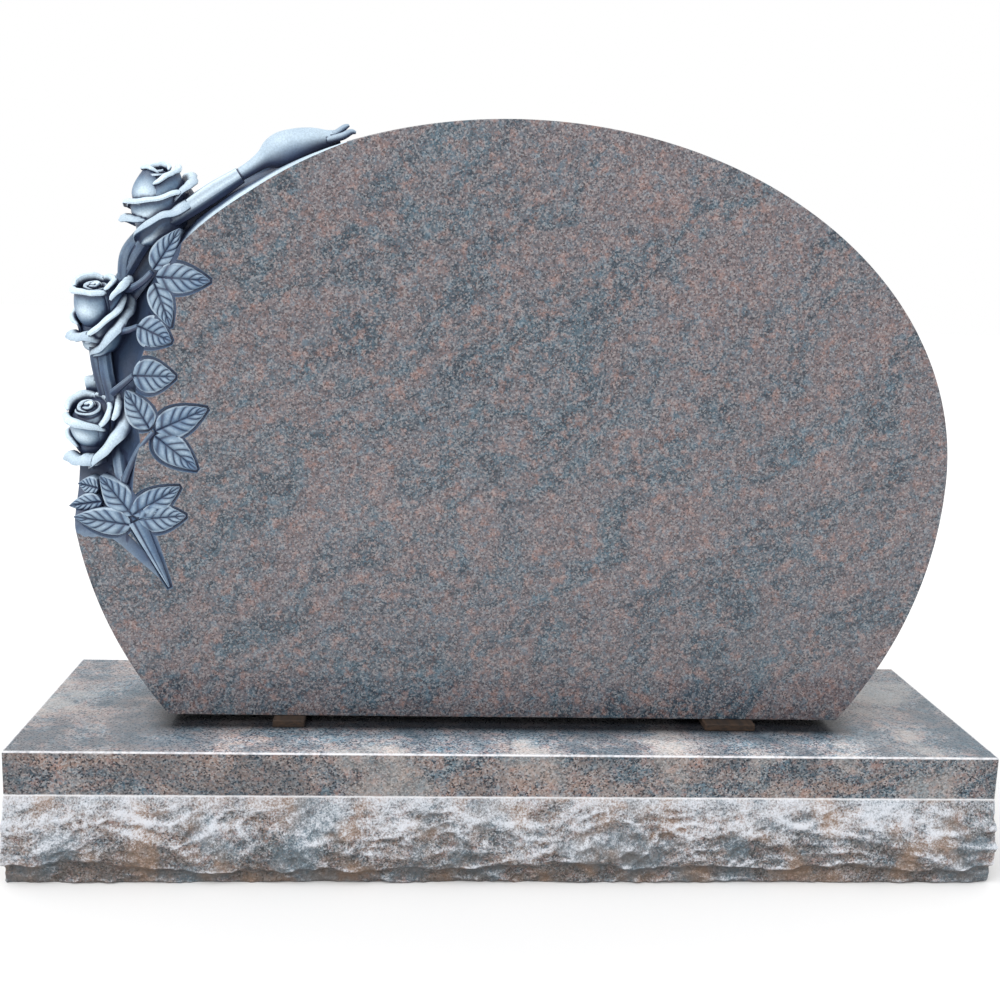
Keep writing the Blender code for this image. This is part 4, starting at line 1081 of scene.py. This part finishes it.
def carved_granite():
    """Carved stone: blue-grey, with painted shade in the cuts and where stone hides the sky, and painted
    highlights on the petals' rims and bellies and the leaves' edges.
    """
    net, shader, spot = start_material("carved_granite")
    clouds = net.noise(spot, 34.0, 5.0, Roughness=0.6)
    mottle = net.fade(clouds, 0.3, 0.7, -0.12, 0.12, False)
    # Painted shade from the share of sky that stone hides; it also dims the painted highlight
    hidden = net.values("hidden")
    pale = net.times(net.plus(net.values("pale"), mottle, True), net.fade(hidden, 0.75, 0.35), True)
    dark = net.plus(net.maths("MAXIMUM", net.values("painted_shade"), net.fade(hidden, 0.16, 0.56)), mottle, True)
    colour = net.tint(net.fade(clouds, 0.35, 0.65), paint((86, 113, 142)), (102, 128, 152))
    # Painted highlight, then painted shade, over the blue-grey
    colour = net.tint(pale, colour, (216, 235, 248))
    colour = net.tint(net.times(dark, 0.88), colour, (34, 38, 68))
    crystals = net.noise(spot, 480.0, 2.0, Roughness=0.5)
    colour = net.scale(colour, net.fade(crystals, 0.3, 0.7, 0.86, 1.12, False))
    net.finish(shader, colour, 0.46, 0.30, 0.0010, net.noise(spot, 120.0, 4.0, Roughness=0.6))


def packer_wood():
    """Weathered timber slip: long dark grain with a dusty face."""
    wood = bpy.data.materials.new("packer_wood")
    net, shader, spot = start_material(wood.name)
    drawn = net.add("Mapping", {"Vector": spot, "Scale": (140.0, 9.0, 260.0)})
    grain = net.noise(drawn, 1.0, 5.0, Roughness=0.65, Distortion=0.6)
    colour = net.tint(net.fade(grain, 0.3, 0.7), paint((28, 20, 15)), (62, 44, 30))
    net.finish(shader, colour, 0.78, 0.5, 0.0005, grain)
    return wood


def finish_pieces():
    granite = granite_group()
    for finish in (polished_tablet, polished_base, rock_faced):
        finish(granite)
    carved_granite()
    wood = packer_wood()
    for name in ("packer_left", "packer_right"):
        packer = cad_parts[name]
        packer.data.materials.clear()
        packer.data.materials.append(wood)


# ---------------------------------------------------------------- studio

def set_camera():
    yaw, pitch, roll = (math.radians(v) for v in (CAMERA_YAW, CAMERA_PITCH, CAMERA_ROLL))
    ahead = Vector((-math.sin(yaw) * math.cos(pitch), math.cos(yaw) * math.cos(pitch), -math.sin(pitch)))
    level = Vector((math.cos(yaw), math.sin(yaw), 0.0))
    above = level.cross(ahead)
    right = level * math.cos(roll) + above * math.sin(roll)
    up = above * math.cos(roll) - level * math.sin(roll)
    turned = Matrix((right, up, -ahead)).transposed().to_4x4()
    turned.translation = Vector(CAMERA_PLACE)
    camera = bpy.data.objects.new("camera", bpy.data.cameras.new("camera"))
    camera.data.sensor_width = 36.0
    camera.data.lens = CAMERA_LENS
    bpy.context.scene.collection.objects.link(camera)
    camera.matrix_world = turned
    bpy.context.scene.camera = camera


def set_studio():
    """Plain pale floor, white surroundings, and a broad soft light from above on the left."""
    bpy.ops.mesh.primitive_grid_add(x_subdivisions=4, y_subdivisions=4, size=30.0, location=(0, 6, -0.0005))
    floor = bpy.context.active_object
    floor.name = "studio_floor"
    material = bpy.data.materials.new("studio_floor_paper")
    material.use_nodes = True
    tree = material.node_tree
    shader = tree.nodes["Principled BSDF"]
    shader.inputs["Base Color"].default_value = (0.86, 0.86, 0.86, 1.0)
    shader.inputs["Roughness"].default_value = 0.9
    floor.data.materials.append(material)
    world = bpy.data.worlds.new("studio_white")
    world.use_nodes = True
    world.node_tree.nodes["Background"].inputs["Color"].default_value = (1.0, 1.0, 1.0, 1.0)
    world.node_tree.nodes["Background"].inputs["Strength"].default_value = 1.0
    bpy.context.scene.world = world
    bpy.context.scene.view_settings.view_transform = "Standard"
    lamp = bpy.data.lights.new("key_light", "SUN")
    lamp.energy = KEY_STRENGTH
    lamp.angle = math.radians(KEY_SPREAD)
    holder = bpy.data.objects.new("key_light", lamp)
    bpy.context.scene.collection.objects.link(holder)
    holder.rotation_euler = Vector(KEY_TOWARDS).to_track_quat("Z", "Y").to_euler()


# ---------------------------------------------------------------- the monument

set_camera()
set_studio()
pieces = bpy.context.scene.collection
tablet = build_tablet(pieces)
base = build_base(pieces)
finish_pieces()
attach(tablet, "root")
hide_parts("tablet")
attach(base, "root")
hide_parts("base")
